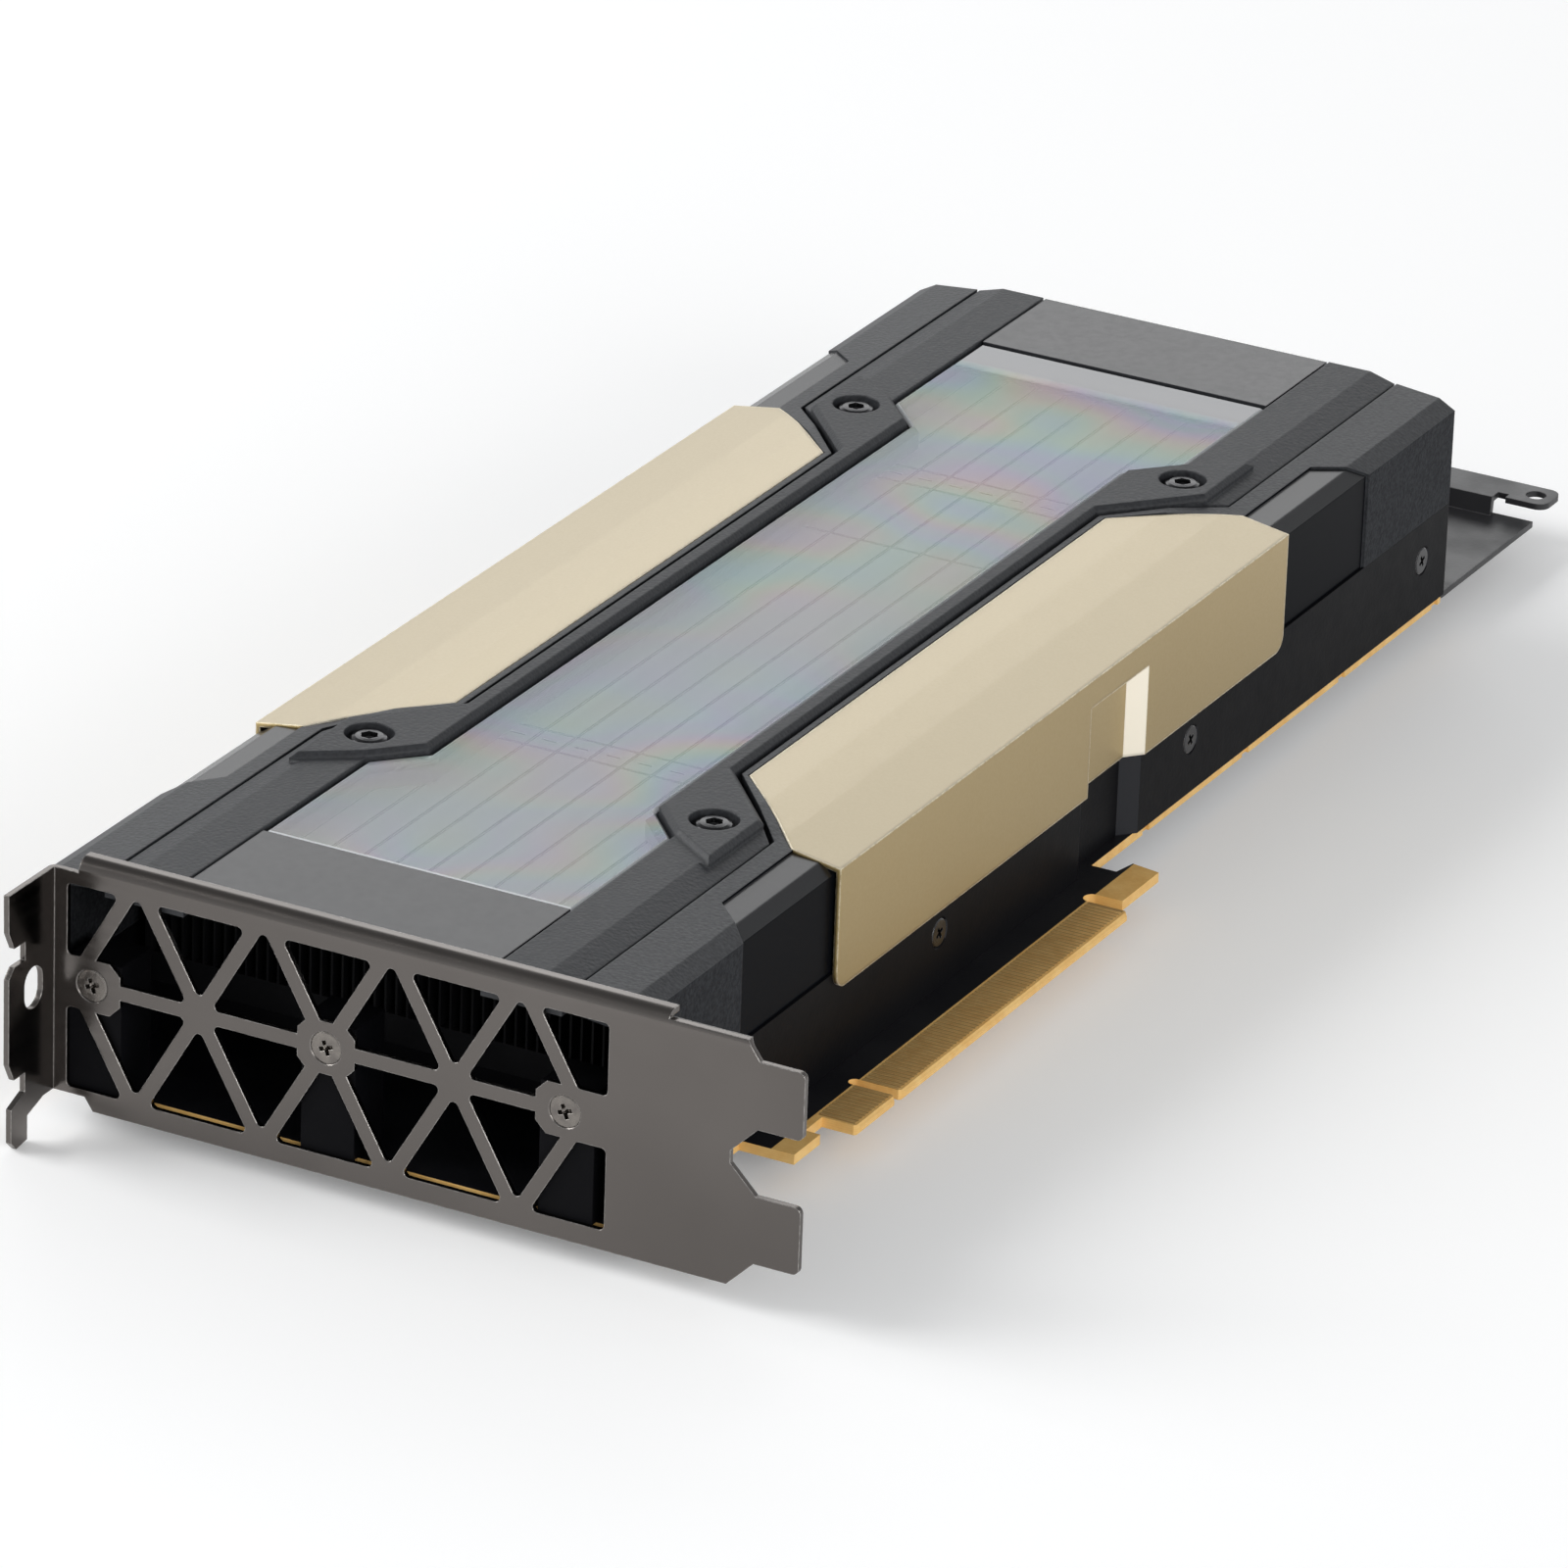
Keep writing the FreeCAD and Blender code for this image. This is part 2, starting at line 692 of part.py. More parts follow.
def hexagon(a, b, flat):
    """A socket outline round a centre, given half its width across the flats."""
    point = f"({flat}) * 2 / sqrt(3)"
    return [(f"{a} + {point}", b), (f"{a} + {point} / 2", f"{b} + {flat}"),
            (f"{a} - {point} / 2", f"{b} + {flat}"),
            (f"{a} - {point}", b), (f"{a} - {point} / 2", f"{b} - ({flat})"),
            (f"{a} + {point} / 2", f"{b} - ({flat})")]


# Printed circuit board with its edge contacts, front foot and rear retention hook
BOARD_EDGE = across(CONTACT_SIDE, BOARD_HALF_WIDTH)
BOARD_UNDERSIDE = "board_top - board_thickness"


def make_board():
    body = new_body("circuit_board")
    short_start = "key_middle - key_width / 2 - short_contacts"
    short_end = "key_middle - key_width / 2"
    long_start = "key_middle + key_width / 2"
    long_end = "key_middle + key_width / 2 + long_contacts"
    hook_start = f"{long_end} + hook_gap"
    hook_end = f"{hook_start} + hook_width"
    notch_floor = "contact_edge - key_depth"
    outline = [(across(-1, BOARD_HALF_WIDTH), "board_front"), (BOARD_EDGE, "board_front"),
               (BOARD_EDGE, "foot_front"), ("foot_edge", "foot_front"),
               ("foot_edge", "foot_front + foot_width"),
               ("contact_root", "foot_front + foot_width"), ("contact_root", short_start)]
    for start, end in ((short_start, short_end), (long_start, long_end)):
        outline += [("contact_edge - contact_bevel", start), ("contact_edge", f"{start} + contact_bevel"),
                    ("contact_edge", f"{end} - contact_bevel"), ("contact_edge - contact_bevel", end),
                    (notch_floor, end)]
        if start == short_start:
            outline.append((notch_floor, long_start))
    outline += [(notch_floor, hook_start), ("hook_edge", hook_start), ("hook_edge", hook_end),
                ("hook_bay_edge", f"{hook_end} + contact_bevel"),
                ("hook_bay_edge - contact_bevel", "hook_bay_start"),
                (BOARD_EDGE, "hook_bay_start"), (BOARD_EDGE, "board_rear"),
                (across(-1, BOARD_HALF_WIDTH), "board_rear")]
    grow(body, "z", BOARD_UNDERSIDE, "board_top", outline)
    key_faces = [value(short_end), value(long_start)]
    round_edges(body, "key_width * slot_round",
                lambda edge: along(edge, "z") and near(ends_of(edge)[0], x=notch_floor)
                and any(abs(ends_of(edge)[0].y - y) < TOLERANCE for y in key_faces))
    gap_faces = [value(long_end), value(hook_start)]
    round_edges(body, "hook_gap * slot_round",
                lambda edge: along(edge, "z") and near(ends_of(edge)[0], x=notch_floor)
                and any(abs(ends_of(edge)[0].y - y) < TOLERANCE for y in gap_faces))
    bevel_edges(body, "board_thickness * edge_bevel_share",
                lambda edge: along(edge, "y") and near(ends_of(edge)[0], x="contact_edge"))
    cut(body, "z", BOARD_UNDERSIDE, "board_top",
        *[(a, b, "plate_screw_shank / 2 + hole_clearance") for a, b in PLATE_SCREWS])
    notch = cut(body, "z", BOARD_UNDERSIDE, "board_top",
                rectangle(f"{BOARD_EDGE} - edge_notch_depth", "edge_notch_first", BOARD_EDGE,
                          "edge_notch_first + edge_notch_width"))
    repeat(body, notch, "y", "edge_notch_pitch", "edge_notches")


# Plate under the board, held by countersunk screws that run up into the frame's standoffs
PLATE_HALF_WIDTH = f"{BOARD_HALF_WIDTH} - plate_inset"
PLATE_LEVEL = f"{BOARD_UNDERSIDE} - plate_thickness"
PLATE_SCREWS = [(across(side, f"{BOARD_HALF_WIDTH} - plate_screw_inset"),
                 f"bay_middle + ({end}) * plate_screw_spread")
                for side in SIDES.values() for end in (-1, 1)]


def make_plate():
    body = new_body("back_plate")
    grow(body, "z", PLATE_LEVEL, BOARD_UNDERSIDE,
         rectangle(across(-1, PLATE_HALF_WIDTH), "board_front + plate_inset",
                   across(1, PLATE_HALF_WIDTH), "board_rear - plate_inset"))
    round_edges(body, "plate_rounding", lambda edge: along(edge, "z"))
    screw_holes(body, "z", PLATE_LEVEL, "plate_screw_head_depth", "plate_screw_shank", "plate_thickness",
                PLATE_SCREWS)
    make_screws("back_plate_screws", "z", PLATE_LEVEL, 1, "plate_screw_head", "plate_screw_head_depth",
                "plate_screw_shank", "plate_screw_length", "plate_screw_socket", PLATE_SCREWS)


# Base frame, cast in one piece: two walls on the board, a floor under the heatsink, posts and a rear bar
SIDE_SCREW_RUNS = [f"side_screw_first + {step} * side_screw_pitch" for step in range(3)]
POSTS = [(across(side, "screw_spread_x"), f"bay_middle + ({end}) * screw_spread_y")
         for side in SIDES.values() for end in (-1, 1)]
LATCH_END = "latch_start + latch_length"


def latch_loop(outside, skin):
    """Plan of the latch recess out to a distance from the middle: wall, floor, and a ramp at the far end.

    The skin is how much sheet lies over the recess's own surface.
    """
    floor = f"(frame_half_width - latch_depth + {skin})"
    start = f"latch_start - accent_sheet + {skin}"
    lean = f"{skin} * sqrt(1 + (latch_ramp / latch_depth) ^ 2)"

    def ramp_at(distance):
        rise = f"({distance} - frame_half_width + latch_depth)"
        return f"{LATCH_END} + {rise} * latch_ramp / latch_depth - {lean}"
    return steps(1, [(floor, start), (outside, start), (outside, ramp_at(outside)), (floor, ramp_at(floor))])


def make_frame():
    body = new_body("base_frame")
    for side in SIDES.values():
        near_face, far_face = across(side, WALL_FACE), across(side, "frame_half_width")
        start, end = (near_face, far_face) if side > 0 else (far_face, near_face)
        grow(body, "z", "board_top", "frame_top", rectangle(start, "frame_front", end, "board_rear"))
    grow(body, "z", "floor_underside", "floor_underside + floor_thickness",
         rectangle(across(-1, WALL_FACE), "floor_front", across(1, WALL_FACE), "floor_rear"))
    cut(body, "z", "floor_underside", "floor_underside + floor_thickness",
        rectangle(across(-1, "chip_window_half_width"), "chip_middle - chip_window_half_length",
                  across(1, "chip_window_half_width"), "chip_middle + chip_window_half_length"))
    grow(body, "z", "board_top", "rear_bar_top",
         rectangle(REAR_BAR_START, "board_rear - rear_bar_depth", across(1, WALL_FACE), "board_rear"))
    grow(body, "z", "board_top", "frame_top",
         rectangle(across(1, f"{WALL_FACE} - latch_depth"), "latch_start - frame_wall", across(1, WALL_FACE),
                   f"{LATCH_END} + latch_ramp + frame_wall"))
    cut(body, "z", "board_top", "frame_top", latch_loop("frame_half_width + margin", "0"))
    grow(body, "z", "floor_underside", "moulding_underside", *[(a, b, "post_diameter / 2") for a, b in POSTS])
    cut(body, "z", f"{TOP_SCREW_SEAT} - top_screw_length - hole_clearance", "moulding_underside",
        *[(a, b, "top_screw_shank / 2 + hole_clearance") for a, b in POSTS])
    grow(body, "z", "board_top", "floor_underside + floor_thickness",
         *[block("standoff_side", "standoff_side", a, b) for a, b in PLATE_SCREWS])
    cut(body, "z", "board_top", f"{PLATE_LEVEL} + plate_screw_length + hole_clearance",
        *[(a, b, "plate_screw_shank / 2 + hole_clearance") for a, b in PLATE_SCREWS])
    centres = [(run, "side_screw_height") for run in SIDE_SCREW_RUNS]
    for name, side in SIDES.items():
        inner, boss = across(side, WALL_FACE), across(side, f"{WALL_FACE} - boss_depth")
        start, end = (boss, inner) if side > 0 else (inner, boss)
        grow(body, "x", start, end, *[block("boss_side", "boss_side", a, b) for a, b in centres])
        face = across(side, "frame_half_width")
        screw_holes(body, "x", face, "side_screw_head_depth", "side_screw_shank", "side_screw_length",
                    centres, flip=side > 0)
        make_screws(f"side_screws_{name}", "x", face, -side, "side_screw_head", "side_screw_head_depth",
                    "side_screw_shank", "side_screw_length", "side_screw_socket", centres)
    cut(body, "y", "board_rear - extender_screw_reach - hole_clearance", "board_rear",
        *[(a, b, "extender_screw_shank / 2 + hole_clearance") for a, b in EXTENDER_SCREWS])


# Blocks behind the bracket that its screws run into
def make_bracket_posts():
    body = new_body("bracket_posts")
    half = "post_block_width / 2"
    grow(body, "z", "board_top", "post_block_top",
         *[rectangle(f"{x} - {half}", "sheet", f"{x} + {half}",
                     "sheet + post_block_depth") for x in BRACKET_SCREWS])
    centres = [(x, "truss_middle") for x in BRACKET_SCREWS]
    screw_holes(body, "y", "0", "bracket_screw_head_depth", "bracket_screw_shank", "bracket_screw_length",
                centres)
    make_screws("bracket_screws", "y", "0", 1, "bracket_screw_head", "bracket_screw_head_depth",
                "bracket_screw_shank", "bracket_screw_length", "bracket_screw_socket", centres)


# Side covers: long mouldings with a smooth recessed middle that carries the accent cover
COVER_INNER = "(rail_outer + seam)"
COVER_SIDE = "(frame_half_width - cover_wall)"
ROOF = [(COVER_INNER, "cover_inner_top"), ("cover_crease", "cover_crease_top"),
        ("frame_half_width", "cover_outer_top")]


def level_on(profile, step, distance, drop="0"):
    """Height at a distance from the middle on one slope of a profile, lowered by a drop."""
    (near_end, near_top), (far_end, far_top) = profile[step:step + 2]
    slope = f"({near_top} - {far_top}) / ({far_end} - {near_end})"
    return f"{near_top} - {drop} - ({distance} - {near_end}) * {slope}"


def make_side_cover(name, side):
    body = new_body(f"side_cover_{name}")
    profile = [(COVER_INNER, level_on(ROOF, 0, COVER_INNER, "cover_roof")), *ROOF,
               ("frame_half_width", "frame_top"),
               (COVER_SIDE, "frame_top"), (COVER_SIDE, level_on(ROOF, 1, COVER_SIDE, "cover_roof")),
               ("cover_crease", "cover_crease_top - cover_roof")]
    grow(body, "y", "frame_front", "cover_rear", steps(side, profile))
    web_edge = "ridge_outer + rim_gap"
    web_start, web_end = "bay_middle - web_half_length + rim_gap", "bay_middle + web_half_length - rim_gap"
    web = [(COVER_INNER, f"{web_start} - web_slope_length"), (web_edge, web_start), (web_edge, web_end),
           (COVER_INNER, f"{web_end} + web_slope_length")]
    grow(body, "z", "moulding_underside", "accent_inner_top", steps(side, web))
    shoulder = [("accent_bend_inner", "accent_inner_top"), (COVER_INNER, "cover_inner_top"),
                (COVER_INNER, "ridge_top"),
                ("accent_bend_inner", "ridge_top")]
    cut(body, "y", f"{web_start} - web_slope_length", f"{web_end} + web_slope_length", steps(side, shoulder))
    if side == CONTACT_SIDE:
        recess_top = "latch_top + accent_sheet"
        grow(body, "z", "frame_top", f"{recess_top} + cover_wall",
             rectangle(across(1, f"{COVER_SIDE} - latch_depth"), "latch_start - cover_wall",
                       across(1, COVER_SIDE),
                       f"{LATCH_END} + latch_ramp + cover_wall"))
        cut(body, "z", "frame_top", recess_top, latch_loop("frame_half_width + margin", "0"))
    smoothed = cut_away(name, body, make_smooth_band(name, side))
    cut_away(name, smoothed, make_accent_seat(name, side))


def cut_away(name, blank, tool):
    """The side cover less a tool; the blank gives up its label."""
    result = doc.addObject("Part::Cut", f"side_cover_{name}_cut")
    result.Base = blank
    result.Tool = tool
    blank.Label = f"{blank.Name}_blank"
    result.Label = f"side_cover_{name}"
    doc.recompute()
    return result


def make_smooth_band(name, side):
    """The skin that the cover's middle lies below its ends by, with slanted ends of its own."""
    skin = new_body(f"smooth_band_{name}")
    beyond = "frame_half_width + margin"
    face = "frame_half_width - smooth_depth"
    outside = [("smooth_inner", "ridge_top"),
               ("smooth_inner", level_on(ROOF, 0, "smooth_inner", "smooth_depth")),
               ("cover_crease", "cover_crease_top - smooth_depth"),
               (face, level_on(ROOF, 1, face, "smooth_depth")),
               (face, "frame_top - margin"), (beyond, "frame_top - margin"), (beyond, "ridge_top")]
    grow(skin, "y", "smooth_front", "smooth_rear", steps(side, outside))
    for edge, slant in (("smooth_front", "smooth_slant"), ("smooth_rear", "-smooth_slant")):
        wedge = [("smooth_inner - margin", edge), ("frame_half_width", edge),
                 ("smooth_inner", f"{edge} + {slant}"),
                 ("smooth_inner - margin", f"{edge} + {slant}")]
        cut(skin, "z", f"{level_on(ROOF, 1, 'frame_half_width', 'smooth_depth')} - margin", "ridge_top",
            steps(side, wedge))
    return skin


# Accent covers: thin anodised sheet laid over the side covers' middle
ACCENT_FACE = "(frame_half_width + accent_sheet)"
ACCENT_ROOF = [("accent_inner", "accent_inner_top"), ("accent_bend_inner", "accent_bend_inner_top"),
               ("accent_bend_outer", "accent_bend_outer_top"), (ACCENT_FACE, "accent_outer_top")]


def accent_corners(gap="0"):
    """Plan of what the accent cover leaves free at its two inner corners, less a gap."""
    corners = []
    for end, edge, knee, slope in ((-1, "accent_front", "accent_knee_front", "accent_slope_start"),
                                   (1, "accent_rear", "accent_knee_rear", "accent_slope_end")):
        out = f"({end}) * ({gap})"
        corners.append([(f"accent_inner - {gap} - margin", f"{edge} + ({end}) * margin"),
                        ("accent_shoulder", f"{edge} + ({end}) * margin"),
                        ("accent_shoulder", f"{edge} + {out}"),
                        ("accent_knee", f"{knee} + {out}"), ("accent_inner", f"{slope} + {out}"),
                        (f"accent_inner - {gap} - margin", f"{slope} + {out}")])
    return corners


def accent_underside():
    lowered = [(distance, f"{top} - accent_sheet") for distance, top in ACCENT_ROOF[:-1]]
    return [*lowered, ("frame_half_width", level_on(ACCENT_ROOF, 2, "frame_half_width", "accent_sheet"))]


def make_accent_seat(name, side):
    """What the accent cover's sheet takes out of the side cover, with a fine gap round its inner edges."""
    seat = new_body(f"accent_seat_{name}")
    beyond = "frame_half_width + margin"
    profile = [("accent_inner - accent_gap", "accent_inner_top - accent_sheet"), *accent_underside(),
               (beyond, level_on(ACCENT_ROOF, 2, beyond, "accent_sheet")), (beyond, "ridge_top"),
               ("accent_inner - accent_gap", "ridge_top")]
    grow(seat, "y", "accent_front", "accent_rear", steps(side, profile))
    for corner in accent_corners("accent_gap"):
        cut(seat, "z", "accent_outer_top - accent_sheet", "ridge_top", steps(side, corner))
    return seat


def make_accent_cover(name, side):
    body = new_body(f"accent_cover_{name}")
    underside = accent_underside()
    underside.reverse()
    profile = [*ACCENT_ROOF, (ACCENT_FACE, "accent_bottom"), ("frame_half_width", "accent_bottom"),
               *underside]
    grow(body, "y", "accent_front", "accent_rear", steps(side, profile))
    for corner in accent_corners():
        cut(body, "z", "accent_outer_top", "ridge_top", steps(side, corner))
    if side == CONTACT_SIDE:
        grow(body, "z", "accent_bottom", "latch_top + accent_sheet", latch_loop(ACCENT_FACE, "0"))
        cut(body, "z", "accent_bottom", "latch_top", latch_loop(f"{ACCENT_FACE} + margin", "accent_sheet"))

    def lower_corner(edge):
        return along(edge, "x") and near(ends_of(edge)[0], z="accent_bottom") \
            and any(abs(ends_of(edge)[0].y - value(run)) < TOLERANCE for run in ("accent_front",
                "accent_rear"))
    round_edges(body, "accent_corner", lower_corner)


# Rails: textured bars with raised screw bosses and a ridge beside the window
TOP_SCREW_SEAT = "ridge_top - screw_recess_depth"
LEDGE = "window_top - window_thickness"


def lead_in(body, start, end, top):
    """Bevels a moulding's front top edge, so that it clears the inside of the bracket's bend."""
    size = "lip_bend_radius * lead_in_share"
    cut(body, "x", start, end,
        [("frame_front - margin", f"{top} - {size}"), ("frame_front", f"{top} - {size}"),
                                (f"frame_front + {size}", top),
                                (f"frame_front + {size}", "ridge_top + margin"),
                                ("frame_front - margin", "ridge_top + margin")])


def bay_edge(inset):
    """Inner edge of a rail, or an edge beside it when inset: wide ends and a narrow middle."""
    bay, slope = "bay_half_length", "bay_slope_length"
    return [(f"rail_inner - {inset}", f"bay_middle - {bay} - {slope} - {inset}"),
            (f"ridge_inner - {inset}", f"bay_middle - {bay} - {inset}"),
            (f"ridge_inner - {inset}", f"bay_middle + {bay} + {inset}"),
            (f"rail_inner - {inset}", f"bay_middle + {bay} + {slope} + {inset}")]


def rail_slope(distance):
    """Height of the rail's sloping outer part at a distance from the middle."""
    return f"rail_top - ({distance} - rail_crease) * (rail_top - rail_outer_top) / (rail_outer - rail_crease)"


def make_rail(name, side):
    body = new_body(f"rail_{name}")
    slope_start, slope_end = "(web_half_length + web_slope_length)", "web_half_length"
    outer = [("rail_outer", "cover_rear"), ("rail_outer", f"bay_middle + {slope_start}"),
             ("ridge_outer", f"bay_middle + {slope_end}"), ("ridge_outer", f"bay_middle - {slope_end}"),
             ("rail_outer", f"bay_middle - {slope_start}"), ("rail_outer", "frame_front")]

    def plan(inset):
        return [(f"rail_inner - {inset}", "frame_front"), *bay_edge(inset),
                (f"rail_inner - {inset}", "cover_rear"), *outer]
    grow(body, "z", "moulding_underside", LEDGE, steps(side, plan("ledge_width")))
    grow(body, "z", LEDGE, "ridge_top", steps(side, plan("0")))
    tip_run = "(web_half_length + web_slope_length + boss_tip_run)"
    beyond = "rail_outer + margin"
    for end, last in ((-1, "frame_front"), (1, "cover_rear")):
        shoulder = f"bay_middle + ({end}) * (bay_half_length + bay_slope_length)"
        tip = f"bay_middle + ({end}) * {tip_run}"
        past = f"{last} + ({end}) * margin"
        low = [("rail_inner - margin", past), (beyond, past),
               (beyond, f"bay_middle + ({end}) * web_half_length"),
               ("boss_outer", f"bay_middle + ({end}) * web_half_length"), ("boss_outer", tip),
               ("rail_inner", shoulder),
               ("rail_inner - margin", shoulder)]
        cut(body, "z", "rail_top", "ridge_top", steps(side, low))
        for start, run_start, run_end in (("rail_crease", tip, last),
                                          ("boss_outer", f"bay_middle + ({end}) * web_half_length", tip)):
            slope = [(start, rail_slope(start)), (beyond, rail_slope(beyond)), (beyond, "ridge_top"),
                     (start, "ridge_top")]
            first, final = (run_start, run_end) if end > 0 else (run_end, run_start)
            cut(body, "y", first, final, steps(side, slope))
    top = value("ridge_top")
    bevel_edges(body, "ridge_bevel",
                lambda edge: all(abs(point.z - top) < TOLERANCE for point in ends_of(edge)))
    screws = [(across(side, "screw_spread_x"), f"bay_middle + ({end}) * screw_spread_y") for end in (-1, 1)]
    cut(body, "z", TOP_SCREW_SEAT, "ridge_top", *[(a, b, "screw_recess_diameter / 2") for a, b in screws])
    cut(body, "z", "moulding_underside", TOP_SCREW_SEAT,
        *[(a, b, "top_screw_shank / 2 + hole_clearance") for a, b in screws])
    faces = [across(side, "rail_inner"), across(side, "rail_outer")]
    lead_in(body, *faces[::side], "rail_top")


# Panels and window between the rails
def make_top_panels():
    half = "(rail_inner - seam)"
    for name, start, end in (("front_panel", "frame_front", "front_panel_rear"),
                             ("rear_panel", "window_rear + seam", "cover_rear")):
        panel = new_body(name)
        grow(panel, "z", LEDGE, "panel_top", rectangle(across(-1, half), start, across(1, half), end))
        if start == "frame_front":
            lead_in(panel, across(-1, half), across(1, half), "panel_top")
    window = new_body("window")
    edge = [("rail_inner - seam", "front_panel_rear + seam"), *bay_edge("seam"),
            ("rail_inner - seam", "window_rear")]
    mirrored = steps(-1, edge)
    mirrored.reverse()
    grow(window, "z", LEDGE, "window_top", steps(1, edge) + mirrored)
    top = value("window_top")
    bevel_edges(window, "window_bevel", lambda e: all(abs(p.z - top) < TOLERANCE for p in ends_of(e)))


# Heatsink: base plate with a pedestal on the chips, and a soldered stack of thin fins
SINK_LEVEL = "floor_underside + floor_thickness"
FIN_LEVEL = f"{SINK_LEVEL} + sink_plate"
CHIP_TOP = "board_top + package_height + die_height"
FIN_GAPS = f"floor((2 * {SINK_HALF_WIDTH} - fin_thickness) / fin_pitch)"


def make_heatsink():
    base = new_body("heatsink_base")
    plan = rectangle(across(-1, SINK_HALF_WIDTH), "sink_front", across(1, SINK_HALF_WIDTH), "sink_rear")
    grow(base, "z", SINK_LEVEL, FIN_LEVEL, plan)
    grow(base, "z", CHIP_TOP, SINK_LEVEL,
         rectangle(across(-1, "pedestal_half_width"), "chip_middle - pedestal_half_length",
                   across(1, "pedestal_half_width"), "chip_middle + pedestal_half_length"))
    openings = [(a, b, "post_diameter / 2 + post_clearance") for a, b in POSTS]
    cut(base, "z", SINK_LEVEL, FIN_LEVEL, *openings)
    fins = new_body("fin_stack")
    grow(fins, "z", FIN_LEVEL, "moulding_underside", plan)
    cut(fins, "z", FIN_LEVEL, "moulding_underside", *openings)
    first = f"card_middle - {FIN_GAPS} * fin_pitch / 2 + fin_thickness / 2"
    seam_at = f"{first} + fin_pitch - fin_thickness / 2 - fin_seam_width / 2"
    seam_floor = "moulding_underside - fin_seam_depth"
    seam_pitch, seams = "fins_per_sheet * fin_pitch", f"floor({FIN_GAPS} / fins_per_sheet)"
    seam = cut(fins, "y", "sink_front", "sink_rear",
               rectangle(seam_at, seam_floor, f"{seam_at} + fin_seam_width", "moulding_underside"))
    repeat(fins, seam, "x", seam_pitch, seams)
    rows = ["clip_row_first", "clip_row_first + clip_row_spread"]
    lines = [*rows, *[f"{row} + clip_row_width" for row in rows], "cross_seam"]
    cut(fins, "x", across(-1, SINK_HALF_WIDTH), across(1, SINK_HALF_WIDTH),
        *[rectangle(line, seam_floor, f"{line} + fin_seam_width", "moulding_underside") for line in lines])
    clip_middle = f"{seam_at} + {seam_pitch} / 2"
    clips = cut(fins, "z", seam_floor, "moulding_underside",
                *[block("clip_length", "clip_width", clip_middle,
                        f"{row} + (clip_row_width + fin_seam_width) / 2") for row in rows])
    repeat(fins, clips, "x", seam_pitch, f"{seams} - 1")
    gap = cut(fins, "y", "sink_front", "sink_rear",
              rectangle(first, f"{FIN_LEVEL} + fin_cap", f"{first} + fin_pitch - fin_thickness",
                        "moulding_underside - fin_cap"))
    repeat(fins, gap, "x", "fin_pitch", FIN_GAPS)


# Chips and power parts on the board
CHOKE_ROW = f"({WALL_FACE} - choke_inset - choke_side / 2)"
STAGE_ROW = f"({CHOKE_ROW} - choke_side / 2 - stage_gap - stage_side / 2)"
CONNECTOR_MIDDLE = f"({across(-1, WALL_FACE)} + connector_inset + connector_width / 2)"
FIRST_CAPACITOR = f"{CONNECTOR_MIDDLE} + connector_width / 2 + capacitor_gap + capacitor_diameter / 2"
CAPACITORS = [f"{FIRST_CAPACITOR} + {step} * capacitor_pitch" for step in range(3)]
REAR_BAR_START = f"{CAPACITORS[-1]} + capacitor_diameter / 2 + rear_bar_gap"


def make_chips():
    package = new_body("chip_package")
    grow(package, "z", "board_top", "board_top + package_height",
         block("package_side", "package_side", "card_middle", "chip_middle"))
    die = new_body("processor_die")
    grow(die, "z", "board_top + package_height", CHIP_TOP,
         block("die_width", "die_length", "card_middle", "chip_middle"))
    memory = new_body("memory_stacks")
    reach = "(die_width / 2 + memory_gap + memory_width / 2)"
    grow(memory, "z", "board_top + package_height", CHIP_TOP,
         *[block("memory_width", "memory_length", across(side, reach),
                 f"chip_middle + ({end}) * (memory_length + memory_gap) / 2")
           for side in SIDES.values() for end in (-1, 1)])


def make_power_parts():
    runs = [f"chip_middle + ({step} - (chokes_per_side - 1) / 2) * choke_pitch"
            for step in range(SIZES["chokes_per_side"])]
    choke_top = "floor_underside - pad_thickness"
    chokes = new_body("chokes")
    grow(chokes, "z", "board_top", choke_top,
         *[block("choke_side", "choke_side", across(side, CHOKE_ROW), run)
           for side in SIDES.values() for run in runs])
    pads = new_body("thermal_pads")
    grow(pads, "z", choke_top, "floor_underside",
         *[block("choke_side", "((chokes_per_side - 1) * choke_pitch + choke_side)",
                 across(side, CHOKE_ROW), "chip_middle") for side in SIDES.values()])
    stages = new_body("power_stages")
    grow(stages, "z", "board_top", "board_top + stage_height",
         *[block("stage_side", "stage_side", across(side, STAGE_ROW),
                 run) for side in SIDES.values() for run in runs])
    capacitors = new_body("capacitors")
    grow(capacitors, "z", "board_top", "board_top + capacitor_height",
         *[(x, "board_rear - capacitor_inset", "capacitor_diameter / 2") for x in CAPACITORS])


def make_power_connector():
    body = new_body("power_connector")
    rear = "board_rear + connector_overhang"
    start = f"{rear} - connector_depth"
    low, high = "board_top", "board_top + connector_height"
    left, right = f"{CONNECTOR_MIDDLE} - connector_width / 2", f"{CONNECTOR_MIDDLE} + connector_width / 2"
    grow(body, "y", start, rear, rectangle(left, low, right, high))
    columns = [f"{CONNECTOR_MIDDLE} + ({step}) * socket_pitch" for step in (-1.5, -0.5, 0.5, 1.5)]
    rows = [f"board_top + connector_height / 2 + ({step}) * socket_pitch" for step in (-0.5, 0.5)]
    places = [(x, z) for x in columns for z in rows]
    cut(body, "y", f"{rear} - socket_depth", rear,
        *[block("socket_side", "socket_side", x, z) for x, z in places])
    grow(body, "y", start, rear,
         rectangle(f"{CONNECTOR_MIDDLE} - latch_rib / 2", high, f"{CONNECTOR_MIDDLE} + latch_rib / 2",
                   f"{high} + latch_rib / 4"))
    pins = new_body("connector_pins")
    grow(pins, "y", f"{rear} - socket_depth", f"{rear} - pin_setback",
         *[block("pin_side", "pin_side", x, z) for x, z in places])


